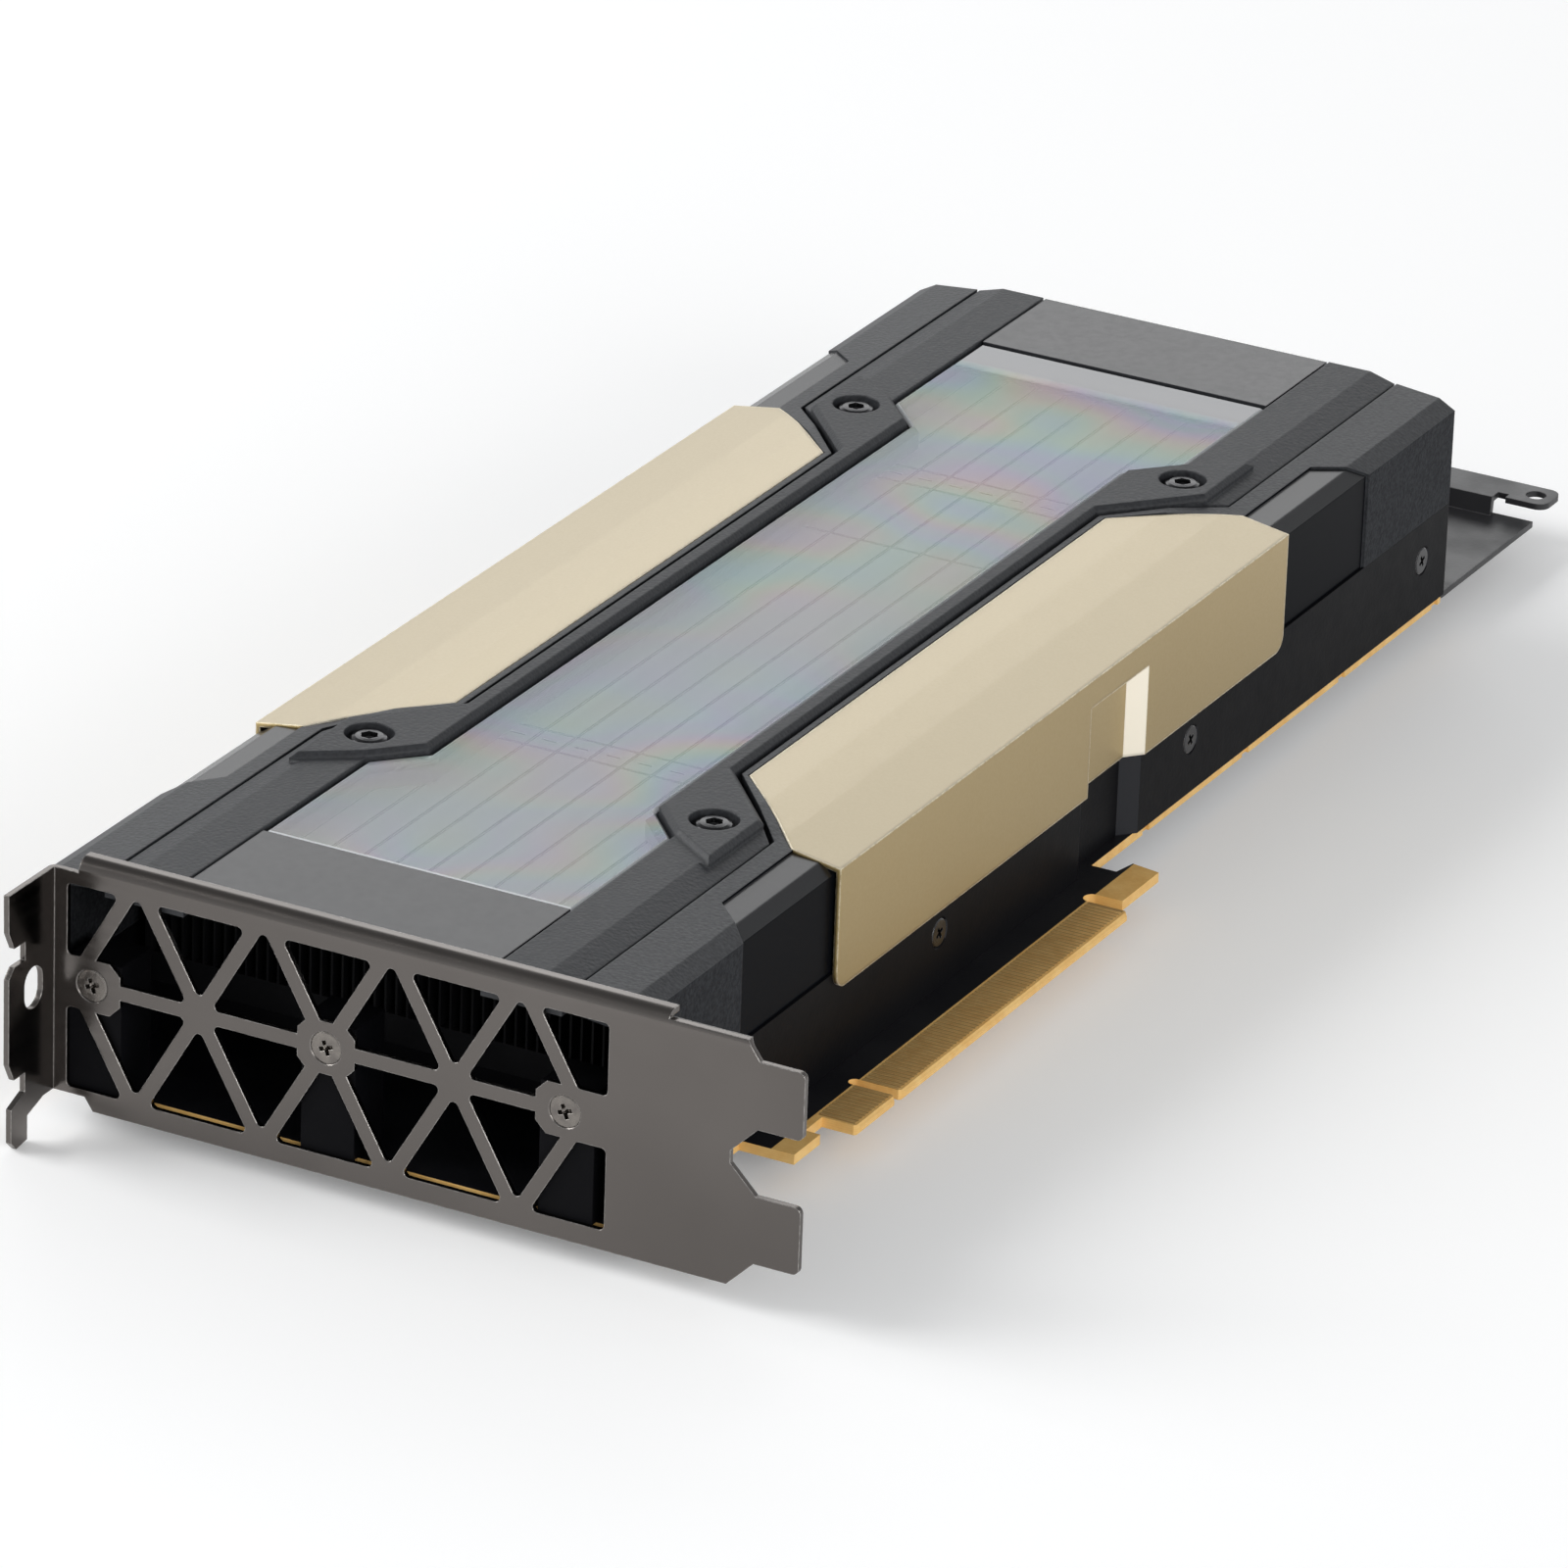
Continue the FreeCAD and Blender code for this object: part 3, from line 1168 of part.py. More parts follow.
# Extender at the power end, folded from one sheet and screwed to the frame's rear bar
EXTENDER_SCREWS = [(f"{REAR_BAR_START} + extender_screw_inset + {step} * extender_screw_pitch",
                    "extender_screw_height")
                   for step in range(2)]


def make_extender():
    body = new_body("extender_bracket")
    top = "extender_level + extender_sheet"
    strip_level = "extender_level + extender_rise"
    left, right = across(-1, "frame_half_width - extender_inset"), across(1,
            "frame_half_width - extender_inset")
    plate_front = "board_rear + extender_sheet"
    grow(body, "z", "extender_level", top, rectangle(left, plate_front, right, "extender_rear"))
    grow(body, "y", "board_rear", plate_front,
         rectangle(REAR_BAR_START, "extender_level", right, "extender_flange_top"))
    lean = "joggle_lean"
    joggle = [(f"extender_rear - extender_sheet - {lean}", "extender_level"),
              (f"extender_rear - {lean}", "extender_level"),
              ("extender_rear", f"{strip_level} + extender_sheet"),
              ("extender_rear - extender_sheet", f"{strip_level} + extender_sheet")]
    grow(body, "x", "strip_start", "joggle_end", joggle)
    grow(body, "z", strip_level, f"{strip_level} + extender_sheet",
         rectangle("strip_start", "extender_rear - extender_sheet", "strip_end",
                   "extender_rear + strip_width"))
    cut(body, "z", strip_level, f"{strip_level} + extender_sheet",
        rectangle("joggle_end", "extender_rear - 2 * extender_sheet", "strip_end", "extender_rear"),
        rectangle("joggle_end", "extender_rear", "joggle_end + relief_width", "extender_rear + relief_depth"))
    round_edges(body, "ear_rounding", lambda edge: along(edge, "z") and near(ends_of(edge)[0], x="strip_end"))
    flange_start = value(REAR_BAR_START) - TOLERANCE
    round_edges(body, "extender_bend", lambda edge: edge_at(edge, "x", y=plate_front, z=top)
                and min(point.x for point in ends_of(edge)) > flange_start)
    round_edges(body, "extender_outer_bend",
                lambda edge: edge_at(edge, "x", y="board_rear", z="extender_level"))
    round_edges(body, "flange_rounding",
                lambda edge: along(edge, "y") and near(ends_of(edge)[0], z="extender_flange_top"))
    cut(body, "z", strip_level, f"{strip_level} + extender_sheet",
        ("ear_hole_x", "extender_rear + strip_width - ear_hole_inset", "ear_hole_diameter / 2"))
    cut(body, "y", "board_rear", plate_front,
        *[(a, b, "extender_screw_shank / 2 + hole_clearance") for a, b in EXTENDER_SCREWS])
    make_screws("extender_screws", "y", f"{plate_front} + extender_screw_head_height", -1,
                "extender_screw_head",
                "extender_screw_head_height", "extender_screw_shank",
                "extender_screw_head_height + extender_sheet + extender_screw_reach", "extender_screw_socket",
                EXTENDER_SCREWS, style="domed")


make_bracket()
make_board()
make_plate()
make_frame()
make_bracket_posts()
for side_name, side_sign in SIDES.items():
    make_side_cover(side_name, side_sign)
    make_accent_cover(side_name, side_sign)
    make_rail(side_name, side_sign)
make_top_panels()
make_screws("top_screws", "z", f"{TOP_SCREW_SEAT} + top_screw_head_height", -1, "top_screw_head",
            "top_screw_head_height",
            "top_screw_shank", "top_screw_head_height + top_screw_length", "top_screw_socket", POSTS,
            style="domed")
make_heatsink()
make_chips()
make_power_parts()
make_power_connector()
make_extender()

doc.recompute()
for thing in doc.Objects:
    if "Invalid" in thing.State or "Error" in thing.State:
        raise ValueError(f"{thing.Label} did not rebuild: {thing.State}")

cuts = doc.findObjects("Part::Cut")
used = {thing.Name for cut_piece in cuts for thing in (cut_piece.Base, cut_piece.Tool)}
pieces = [thing for thing in [*doc.findObjects("PartDesign::Body"), *cuts] if thing.Name not in used]
os.makedirs("parts", exist_ok=True)
for piece in pieces:
    shape = piece.Shape
    if shape.isNull() or not shape.isValid():
        raise ValueError(f"{piece.Label} has no valid shape")
    shape.exportStep(f"parts/{piece.Label}.step")
    box = shape.BoundBox
    print(f"{piece.Label}: solids {len(shape.Solids)}, volume {shape.Volume:.1f}, "
          f"x {box.XMin:.2f} to {box.XMax:.2f}, y {box.YMin:.2f} to {box.YMax:.2f}, "
          f"z {box.ZMin:.2f} to {box.ZMax:.2f}")
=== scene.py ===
import math

import bmesh
import bpy
from mathutils import Matrix, Vector


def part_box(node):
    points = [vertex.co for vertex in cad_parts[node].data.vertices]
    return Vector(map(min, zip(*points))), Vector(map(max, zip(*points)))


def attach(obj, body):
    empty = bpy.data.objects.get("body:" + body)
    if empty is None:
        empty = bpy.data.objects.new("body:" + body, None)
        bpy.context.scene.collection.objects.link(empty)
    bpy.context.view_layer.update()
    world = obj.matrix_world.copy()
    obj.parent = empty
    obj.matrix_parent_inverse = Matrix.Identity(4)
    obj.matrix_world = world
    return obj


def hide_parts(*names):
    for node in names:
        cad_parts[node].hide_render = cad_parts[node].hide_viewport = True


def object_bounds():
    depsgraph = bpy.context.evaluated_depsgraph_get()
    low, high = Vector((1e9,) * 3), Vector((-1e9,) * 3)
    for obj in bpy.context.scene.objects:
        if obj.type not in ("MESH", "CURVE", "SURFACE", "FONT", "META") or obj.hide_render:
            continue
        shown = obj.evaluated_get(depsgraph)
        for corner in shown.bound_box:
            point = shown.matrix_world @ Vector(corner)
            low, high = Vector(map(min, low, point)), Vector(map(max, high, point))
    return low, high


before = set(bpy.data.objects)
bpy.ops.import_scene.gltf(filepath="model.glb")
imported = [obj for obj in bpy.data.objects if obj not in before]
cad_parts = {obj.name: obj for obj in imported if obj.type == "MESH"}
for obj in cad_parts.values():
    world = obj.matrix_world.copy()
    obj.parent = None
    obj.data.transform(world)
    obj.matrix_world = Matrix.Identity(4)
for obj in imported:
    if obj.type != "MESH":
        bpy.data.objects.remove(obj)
solid_low, solid_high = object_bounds()

# Studio: a pale floor, a wide soft lamp far behind the card that shows in its top faces, softer ones at
# the left and right, a sky that is darker overhead, and a long lens at the photograph's angle.
scene = bpy.context.scene
scene.view_settings.view_transform = "Standard"


def make_mesh_piece(name, vertices, faces):
    """A mesh object at the origin, with its place in its vertices and its faces turned outwards."""
    mesh = bpy.data.meshes.new(name)
    mesh.from_pydata(vertices, [], faces)
    shaped = bmesh.new()
    shaped.from_mesh(mesh)
    bmesh.ops.recalc_face_normals(shaped, faces=shaped.faces)
    shaped.to_mesh(mesh)
    shaped.free()
    piece = bpy.data.objects.new(name, mesh)
    scene.collection.objects.link(piece)
    return piece


def put(socket, amount, links):
    """Sets a socket to a value or joins it to another socket."""
    if isinstance(amount, bpy.types.NodeSocket):
        links.new(amount, socket)
    elif hasattr(amount, "__len__") and len(amount) == 3 and socket.type == "RGBA":
        socket.default_value = (*amount, 1)
    elif amount is not None:
        socket.default_value = amount


def add_node(tree, kind, *sources, output=0, **settings):
    """Adds a node whose inputs are filled in order, and gives back one of its outputs."""
    node = tree.nodes.new(kind)
    for name, setting in settings.items():
        setattr(node, name, setting)
    for socket, source in zip(node.inputs, sources):
        put(socket, source, tree.links)
    return node.outputs[output]


class Finish:
    """A material, its shader, and the nodes that vary it over a piece's own coordinates."""

    def __init__(self, name):
        self.material = bpy.data.materials.new(name)
        self.material.use_nodes = True
        self.tree = self.material.node_tree
        self.shader = self.tree.nodes["Principled BSDF"]
        self.place = self.node("ShaderNodeTexCoord", output="Object")

    def set(self, **amounts):
        """Fills the shader's sockets, each named with underscores for its spaces."""
        for name, amount in amounts.items():
            put(self.shader.inputs[name.replace("_", " ")], amount, self.tree.links)

    def node(self, kind, *sources, **settings):
        return add_node(self.tree, kind, *sources, **settings)

    def work_out(self, operation, *sources, **settings):
        """A step of arithmetic on values."""
        return self.node("ShaderNodeMath", *sources, operation=operation, **settings)

    def along(self, axis):
        """Place along an axis of the card, which is named by its capital letter."""
        return self.node("ShaderNodeSeparateXYZ", self.place, output=axis)

    def facing(self, axis):
        """How far the surface faces along an axis of the card."""
        normal = self.node("ShaderNodeNewGeometry", output="Normal")
        return self.node("ShaderNodeSeparateXYZ", normal, output=axis)

    def stretched(self, *scale):
        return self.node("ShaderNodeVectorMath", self.place, scale, operation="MULTIPLY")

    def noise(self, scale, detail=3.0, roughness=0.5, vector=None):
        return self.node("ShaderNodeTexNoise", vector or self.place, None, scale, detail, roughness)

    def spread(self, source, low, high, from_low=0.35, from_high=0.65):
        """A source brought between two amounts, by default from a noise's usual reach."""
        return self.node("ShaderNodeMapRange", source, from_low, from_high, low, high)

    def share(self, mask, low, high):
        """An amount that goes from low to high with a mask."""
        return self.spread(mask, low, high, 0, 1)

    def blend(self, mask, first, second):
        """Two colours mixed by a mask."""
        mix = self.tree.nodes.new("ShaderNodeMix")
        mix.data_type = "RGBA"
        for index, amount in ((0, mask), (6, first), (7, second)):
            put(mix.inputs[index], amount, self.tree.links)
        return mix.outputs[2]

    def mottled(self, scale, first, second, detail=3.0, roughness=0.5):
        """Two colours mixed by a noise."""
        return self.blend(self.spread(self.noise(scale, detail, roughness), 0, 1), first, second)

    def effect(self, group, **amounts):
        """Places a shared effect with its own amounts, and gives back its outputs."""
        node = self.tree.nodes.new("ShaderNodeGroup")
        node.node_tree = group
        put(node.inputs["Place"], self.place, self.tree.links)
        for name, amount in amounts.items():
            put(node.inputs[name], amount, self.tree.links)
        return node.outputs

    def relief(self, height, depth, rounding=0.0):
        """Bump from a height, over edges that are rounded by a radius."""
        bump = self.tree.nodes.new("ShaderNodeBump")
        put(bump.inputs["Distance"], depth, self.tree.links)
        put(bump.inputs["Height"], height, self.tree.links)
        if rounding:
            bevel = self.tree.nodes.new("ShaderNodeBevel")
            bevel.samples = 4
            put(bevel.inputs["Radius"], rounding, self.tree.links)
            put(bump.inputs["Normal"], bevel.outputs[0], self.tree.links)
        put(self.shader.inputs["Normal"], bump.outputs[0], self.tree.links)


floor_level, floor_reach = solid_low.z, 9
floor_signs = ((-1, -1), (1, -1), (1, 1), (-1, 1))
floor_corners = [(x * floor_reach, y * floor_reach, floor_level) for x, y in floor_signs]
floor = make_mesh_piece("studio_floor", floor_corners, [(0, 1, 2, 3)])
floor_paint = Finish("floor_paint")
floor_paint.set(Base_Color=(0.9, 0.9, 0.9), Roughness=0.9, Specular_IOR_Level=0.05)
seen, in_gloss, through_glass = [floor_paint.node("ShaderNodeLightPath", output=ray) for ray in
                                 ("Is Camera Ray", "Is Glossy Ray", "Is Transmission Ray")]
looked_at = floor_paint.work_out("ADD", seen, floor_paint.work_out("ADD", in_gloss, through_glass))
background_lift = 0.17
floor_paint.set(Emission_Color=(1, 1, 1),
                Emission_Strength=floor_paint.work_out("MULTIPLY", looked_at, background_lift))
floor.data.materials.append(floor_paint.material)

world = bpy.data.worlds.new("studio_air")
scene.world = world
world.use_nodes = True
air = world.node_tree
height = add_node(air, "ShaderNodeSeparateXYZ", add_node(air, "ShaderNodeTexCoord", output="Generated"),
                  output="Z")
horizon_end, overhead_start, horizon_strength, overhead_strength = 0.15, 0.9, 0.75, 0.25
dimming = add_node(air, "ShaderNodeMapRange", height, horizon_end, overhead_start,
                   horizon_strength, overhead_strength)
put(air.nodes["Background"].inputs["Color"], (0.97, 0.985, 1.0), air.links)
put(air.nodes["Background"].inputs["Strength"], dimming, air.links)


def hang_lamp(name, place, aim_height, width, height, power):
    """A soft rectangular lamp, turned to a point above the middle of the floor."""
    lamp = bpy.data.lights.new(name, "AREA")
    lamp.shape = "RECTANGLE"
    lamp.size = width
    lamp.size_y = height
    lamp.energy = power
    holder = bpy.data.objects.new(name, lamp)
    holder.location = place
    aim = Vector((0, 0, aim_height)) - Vector(place)
    holder.rotation_euler = aim.to_track_quat("-Z", "Y").to_euler()
    scene.collection.objects.link(holder)


hang_lamp("lamp_behind", place=(-1.0, 2.0, 1.15), aim_height=0.03, width=1.9, height=0.95, power=8.5)
hang_lamp("lamp_left", place=(-1.75, -0.6, 1.15), aim_height=0.02, width=1.4, height=1.1, power=34.0)
hang_lamp("lamp_right", place=(1.5, -1.0, 0.65), aim_height=0.02, width=1.1, height=0.7, power=14.0)

lens = bpy.data.cameras.new("camera")
lens.sensor_width = 36
lens.lens = 246.939
lens.clip_end = 40
camera = bpy.data.objects.new("camera", lens)
camera.location = (0.661473, -1.315335, 0.665274)
camera_turn = (65.9745, -1.8803, 28.2515)
camera.rotation_euler = [math.radians(angle) for angle in camera_turn]
scene.collection.objects.link(camera)
scene.camera = camera

# Circuit board: glass laminate under black solder mask, sawn to its outline. The tan laminate is bare
# at the sawn edges, beyond the mask along the contact edge and, darker, between the contacts. Its tan is
# painted lighter than the laminate's own, painted light for the card's shaded right side.


def dress(finish, *names):
    """Gives CAD nodes a finish."""
    for name in names:
        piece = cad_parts[name]
        piece.data.materials.clear()
        piece.data.materials.append(finish.material)


def as_drawn(amount):
    """A size read from a mesh, back to the thousandth of a millimetre that the part is drawn in."""
    return round(amount, 6)


board_low, board_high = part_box("circuit_board")
bracket_face = as_drawn(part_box("bracket_screws")[0].y)
contact_length, contact_margin = 0.0058, 0.0009
contact_x = board_high.x - contact_margin - contact_length / 2
key_middle = bracket_face + 0.0606
contact_rows_start, contact_rows_end = key_middle - 0.0122, key_middle + 0.0726
mask_margin = 0.0071
face_up = 0.85

board = Finish("solder_mask_on_laminate")
upward = board.facing("Z")
sawn_edge = board.work_out("LESS_THAN", board.work_out("ABSOLUTE", upward), face_up)
beyond_mask = board.work_out("GREATER_THAN", board.along("X"), board_high.x - mask_margin)
bare = board.work_out("MAXIMUM", sawn_edge, beyond_mask)
fibres = board.node("ShaderNodeTexWave", board.place, 900, 2.0, 2.0, 2.0, bands_direction="Z")
# The laminate's tan is painted lighter than its own colour: painted light for the right side of the card,
# which the lamps leave in shade.
laminate_with_painted_light = board.mottled(300, (0.86, 0.50, 0.145), (0.96, 0.63, 0.225), detail=5, roughness=0.65)
laminate_with_painted_light = board.blend(board.work_out("MULTIPLY", fibres, 0.18), laminate_with_painted_light, (0.62, 0.34, 0.11))
across_row = board.work_out("COMPARE", board.along("X"), contact_x, contact_length / 2)
along_row = board.work_out("COMPARE", board.along("Y"), (contact_rows_start + contact_rows_end) / 2,
                           (contact_rows_end - contact_rows_start) / 2)
between_pads = board.work_out("MULTIPLY", across_row, along_row)
on_top = board.work_out("GREATER_THAN", upward, face_up)
laminate_with_painted_light = board.blend(board.work_out("MULTIPLY", between_pads, on_top), laminate_with_painted_light, (0.42, 0.245, 0.08))
solder_mask = board.mottled(80, (0.006, 0.006, 0.008), (0.012, 0.012, 0.014))
board.set(Base_Color=board.blend(bare, solder_mask, laminate_with_painted_light), Roughness=board.share(bare, 0.3, 0.48))
board.relief(board.noise(1400, roughness=0.6), depth=0.00002, rounding=0.0001)
dress(board, "circuit_board")

# Edge contacts: gold-plated copper pads, 1 mm apart on both faces of the board's tongue, each with its
# own cut corners, in a short row and a long row on either side of the key.
plating = Finish("hard_gold_plating")
plating.set(Base_Color=plating.mottled(500, (0.86, 0.56, 0.22), (0.95, 0.66, 0.28)),
            Metallic=0.6, Roughness=0.36)
plating.relief(plating.noise(2600), depth=0.00001)


def repeat_along(name, unit, starts, step, count, finish):
    """Rows of a unit from their start points, made real, in one finish, riding on the card."""
    tree = bpy.data.node_groups.new(f"{name}_rows", "GeometryNodeTree")
    unit_socket = tree.interface.new_socket("Unit", in_out="INPUT", socket_type="NodeSocketObject")
    step_socket = tree.interface.new_socket("Step", in_out="INPUT", socket_type="NodeSocketVector")
    count_socket = tree.interface.new_socket("Count", in_out="INPUT", socket_type="NodeSocketInt")
    tree.interface.new_socket("Geometry", in_out="OUTPUT", socket_type="NodeSocketGeometry")
    given = tree.nodes.new("NodeGroupInput")
    result = tree.nodes.new("NodeGroupOutput")
    join = tree.nodes.new("GeometryNodeJoinGeometry")
    for start in starts:
        row = tree.nodes.new("GeometryNodeMeshLine")
        row.mode = "OFFSET"
        put(row.inputs["Start Location"], start, tree.links)
        put(row.inputs["Offset"], given.outputs["Step"], tree.links)
        put(row.inputs["Count"], given.outputs["Count"], tree.links)
        put(join.inputs[0], row.outputs[0], tree.links)
    unit_shape = add_node(tree, "GeometryNodeObjectInfo", given.outputs["Unit"], output="Geometry")
    copies = tree.nodes.new("GeometryNodeInstanceOnPoints")
    put(copies.inputs["Points"], join.outputs[0], tree.links)
    put(copies.inputs["Instance"], unit_shape, tree.links)
    real = add_node(tree, "GeometryNodeRealizeInstances", copies.outputs[0])
    coated = tree.nodes.new("GeometryNodeSetMaterial")
    put(coated.inputs["Geometry"], real, tree.links)
    coated.inputs["Material"].default_value = finish.material
    put(result.inputs[0], coated.outputs[0], tree.links)
    carrier = make_mesh_piece(f"{name}_carrier", [(0, 0, 0)], [])
    rows = carrier.modifiers.new("rows", "NODES")
    rows.node_group = tree
    rows[unit_socket.identifier] = unit
    rows[step_socket.identifier] = step
    rows[count_socket.identifier] = count
    evaluated = carrier.evaluated_get(bpy.context.evaluated_depsgraph_get())
    piece = bpy.data.objects.new(name, bpy.data.meshes.new_from_object(evaluated))
    scene.collection.objects.link(piece)
    bpy.data.objects.remove(carrier)
    bpy.data.objects.remove(unit)
    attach(piece, "root")
    return piece


def contact_unit():
    """One pad, half sunk in the board: a thin plate with its corners cut off."""
    half_length, half_width, thickness, corner = contact_length / 2, 0.00035, 0.00004, 0.00012
    outline = []
    for sign_x, sign_y in ((1, -1), (1, 1), (-1, 1), (-1, -1)):
        ends = [(half_length, half_width - corner), (half_length - corner, half_width)]
        if sign_x * sign_y < 0:
            ends.reverse()
        outline += [(sign_x * x, sign_y * y) for x, y in ends]
    corners = [(x, y, z) for z in (-thickness, thickness) for x, y in outline]
    count = len(outline)
    faces = [tuple(range(count)), tuple(range(count, 2 * count))]
    faces += [(i, (i + 1) % count, count + (i + 1) % count, count + i) for i in range(count)]
    return make_mesh_piece("contact_unit", corners, faces)


contact_pitch, key_to_contact = 0.001, 0.00145
short_count, long_count = 11, 71
short_start = key_middle - key_to_contact - (short_count - 1) * contact_pitch
contact_rows = (("short_contacts", short_start, short_count),
                ("long_contacts", key_middle + key_to_contact, long_count))
for name, first, count in contact_rows:
    starts = [(contact_x, first, level) for level in (board_low.z, board_high.z)]
    contacts = repeat_along(name, contact_unit(), starts, (0, contact_pitch, 0), count, plating)

# Chips and power parts, soldered to the board under the heatsink: a laminate package with its bare die
# and memory stacks, pressed powder chokes under soft thermal pads, moulded power stages and connector,
# and bare metal capacitor cans.
package = Finish("package_laminate")
package.set(Base_Color=package.mottled(500, (0.03, 0.06, 0.035), (0.05, 0.09, 0.05)), Roughness=0.45)
dress(package, "chip_package")
silicon = Finish("polished_silicon")
silicon.set(Base_Color=silicon.mottled(80, (0.05, 0.05, 0.06), (0.08, 0.08, 0.10)),
            Roughness=0.12, Metallic=0.4)
dress(silicon, "processor_die", "memory_stacks")
powder = Finish("pressed_powder")
powder.set(Base_Color=powder.mottled(900, (0.05, 0.05, 0.05), (0.10, 0.10, 0.10), detail=4), Roughness=0.7)
powder.relief(powder.noise(2000), depth=0.00004, rounding=0.0002)
dress(powder, "chokes")
soft_pad = Finish("soft_pad")
soft_pad.set(Base_Color=soft_pad.mottled(700, (0.25, 0.27, 0.30), (0.33, 0.35, 0.38)), Roughness=0.8)
dress(soft_pad, "thermal_pads")
epoxy = Finish("moulded_epoxy")
epoxy.set(Base_Color=epoxy.mottled(800, (0.012, 0.012, 0.012), (0.02, 0.02, 0.02)), Roughness=0.6)
epoxy.relief(epoxy.noise(2500), depth=0.00002, rounding=0.0001)
dress(epoxy, "power_stages", "power_connector")
can = Finish("bare_can")
can.set(Base_Color=can.mottled(400, (0.55, 0.55, 0.56), (0.68, 0.68, 0.69)), Metallic=1.0, Roughness=0.3)
dress(can, "capacitors", "connector_pins")

# Base frame and the blocks behind the bracket: cast light alloy, machined flat and coated satin black.
# The ramp at the end of the latch recess faces the front and has a painted highlight, a little paler.
ramp_lean, lean_margin = -0.65, 0.1
cast = Finish("black_coated_casting")
# The front-facing ramp gets a paler grey: a painted highlight.
painted_ramp_highlight = cast.work_out("COMPARE", cast.facing("Y"), ramp_lean, lean_margin)
coating = cast.mottled(40, (0.004, 0.004, 0.005), (0.006, 0.006, 0.007), detail=5)
cast.set(Base_Color=cast.blend(painted_ramp_highlight, coating, (0.034, 0.035, 0.039)),
         Roughness=cast.spread(cast.noise(300), 0.38, 0.42), Specular_IOR_Level=0.04)
cast.relief(cast.noise(1500), depth=0.00002, rounding=0.0002)
dress(cast, "base_frame", "bracket_posts")

# Heatsink: a base plate and a stack of thin fins with their lapped tops left bare. Below the tops the
# fins and the base plate are painted near black, a painted shade for the shadow they lie in. Seams run
# along the tops where the folded sheets meet, and two clinched rows and a joint cross them; their lines
# are painted dark, a painted shade in the grooves.
fins_low, fins_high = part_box("fin_stack")
skin_depth = 0.00012
half_sheet = 0.002625
seam_half_width, cross_seam_width, clinched_width = 0.0003, 0.00025, 0.006
clinched_starts, joint_start = (0.0784, 0.1959), 0.1723

sink = Finish("bare_fin_tops_over_painted_shade")
bare_top = sink.work_out("GREATER_THAN", sink.along("Z"), fins_high.z - skin_depth)
drawn = sink.noise(1.0, roughness=0.6, vector=sink.stretched(190, 9, 30))
bright = sink.blend(sink.spread(drawn, 0, 1), (0.70, 0.715, 0.73), (0.84, 0.85, 0.86))
# Near black below the bare tops: painted shade on the fin sides and the base plate.
painted_fin_shade = sink.mottled(60, (0.006, 0.006, 0.007), (0.012, 0.012, 0.013))
from_first_seam = sink.work_out("SUBTRACT", sink.along("X"), as_drawn(fins_low.x) + half_sheet)
from_seam = sink.work_out("PINGPONG", from_first_seam, half_sheet)
crossings = [*clinched_starts, *[start + clinched_width for start in clinched_starts], joint_start]
for crossing in crossings:
    seam_y = bracket_face + crossing + cross_seam_width / 2
    from_crossing = sink.work_out("ABSOLUTE", sink.work_out("SUBTRACT", sink.along("Y"), seam_y))
    from_seam = sink.work_out("MINIMUM", from_seam, from_crossing)
# Dark lines along the seams and across them: painted shade in the grooves.
seam = sink.work_out("LESS_THAN", from_seam, seam_half_width)
bright = sink.blend(seam, bright, (0.10, 0.10, 0.105))
# Below the tops the fins are also made dull and not metallic, as part of the painted shade.
sink.set(Base_Color=sink.blend(bare_top, painted_fin_shade, bright), Metallic=sink.share(bare_top, 0.0, 0.35),
         Specular_IOR_Level=sink.share(bare_top, 0.08, 0.5),
         Roughness=sink.spread(sink.noise(220), 0.47, 0.52))
sink.relief(sink.noise(1.0, detail=2, vector=sink.stretched(900, 60, 200)), depth=0.000001)
dress(sink, "fin_stack", "heatsink_base")

# Slot bracket: one sheet of steel, blanked with its truss of air outlets, folded, and plated dark
# nickel. Its sheared edges are brighter: bare steel, and a painted highlight.


def build_edge_wear_and_highlight():
    """A mask that is high along sharp edges, broken up by a noise: worn edges, and painted edge
    highlights.
    """
    group = bpy.data.node_groups.new("edge_wear_and_highlight", "ShaderNodeTree")
    group.interface.new_socket("Place", in_out="INPUT", socket_type="NodeSocketVector")
    for label, amount in (("Width", 0.0003), ("Grain", 900.0), ("Amount", 1.0)):
        socket = group.interface.new_socket(label, in_out="INPUT", socket_type="NodeSocketFloat")
        socket.default_value = amount
    group.interface.new_socket("Mask", in_out="OUTPUT", socket_type="NodeSocketFloat")
    given = group.nodes.new("NodeGroupInput")
    result = group.nodes.new("NodeGroupOutput")
    bevel = group.nodes.new("ShaderNodeBevel")
    bevel.samples = 6
    put(bevel.inputs["Radius"], given.outputs["Width"], group.links)
    flat = add_node(group, "ShaderNodeNewGeometry", output="Normal")
    agreement = add_node(group, "ShaderNodeVectorMath", bevel.outputs[0], flat,
                         operation="DOT_PRODUCT", output="Value")
    still_flat, fully_worn, least_share = 0.985, 0.88, 0.35
    edge = add_node(group, "ShaderNodeMapRange", agreement, still_flat, fully_worn, 0, 1)
    patches = add_node(group, "ShaderNodeTexNoise", given.outputs["Place"], None,
                       given.outputs["Grain"], 3.0)
    patches = add_node(group, "ShaderNodeMapRange", patches, 0.38, 0.55, least_share, 1)
    mask = add_node(group, "ShaderNodeMath", edge, patches, operation="MULTIPLY")
    mask = add_node(group, "ShaderNodeMath", mask, given.outputs["Amount"], operation="MULTIPLY")
    put(result.inputs["Mask"], mask, group.links)
    return group


edge_wear_and_highlight = build_edge_wear_and_highlight()

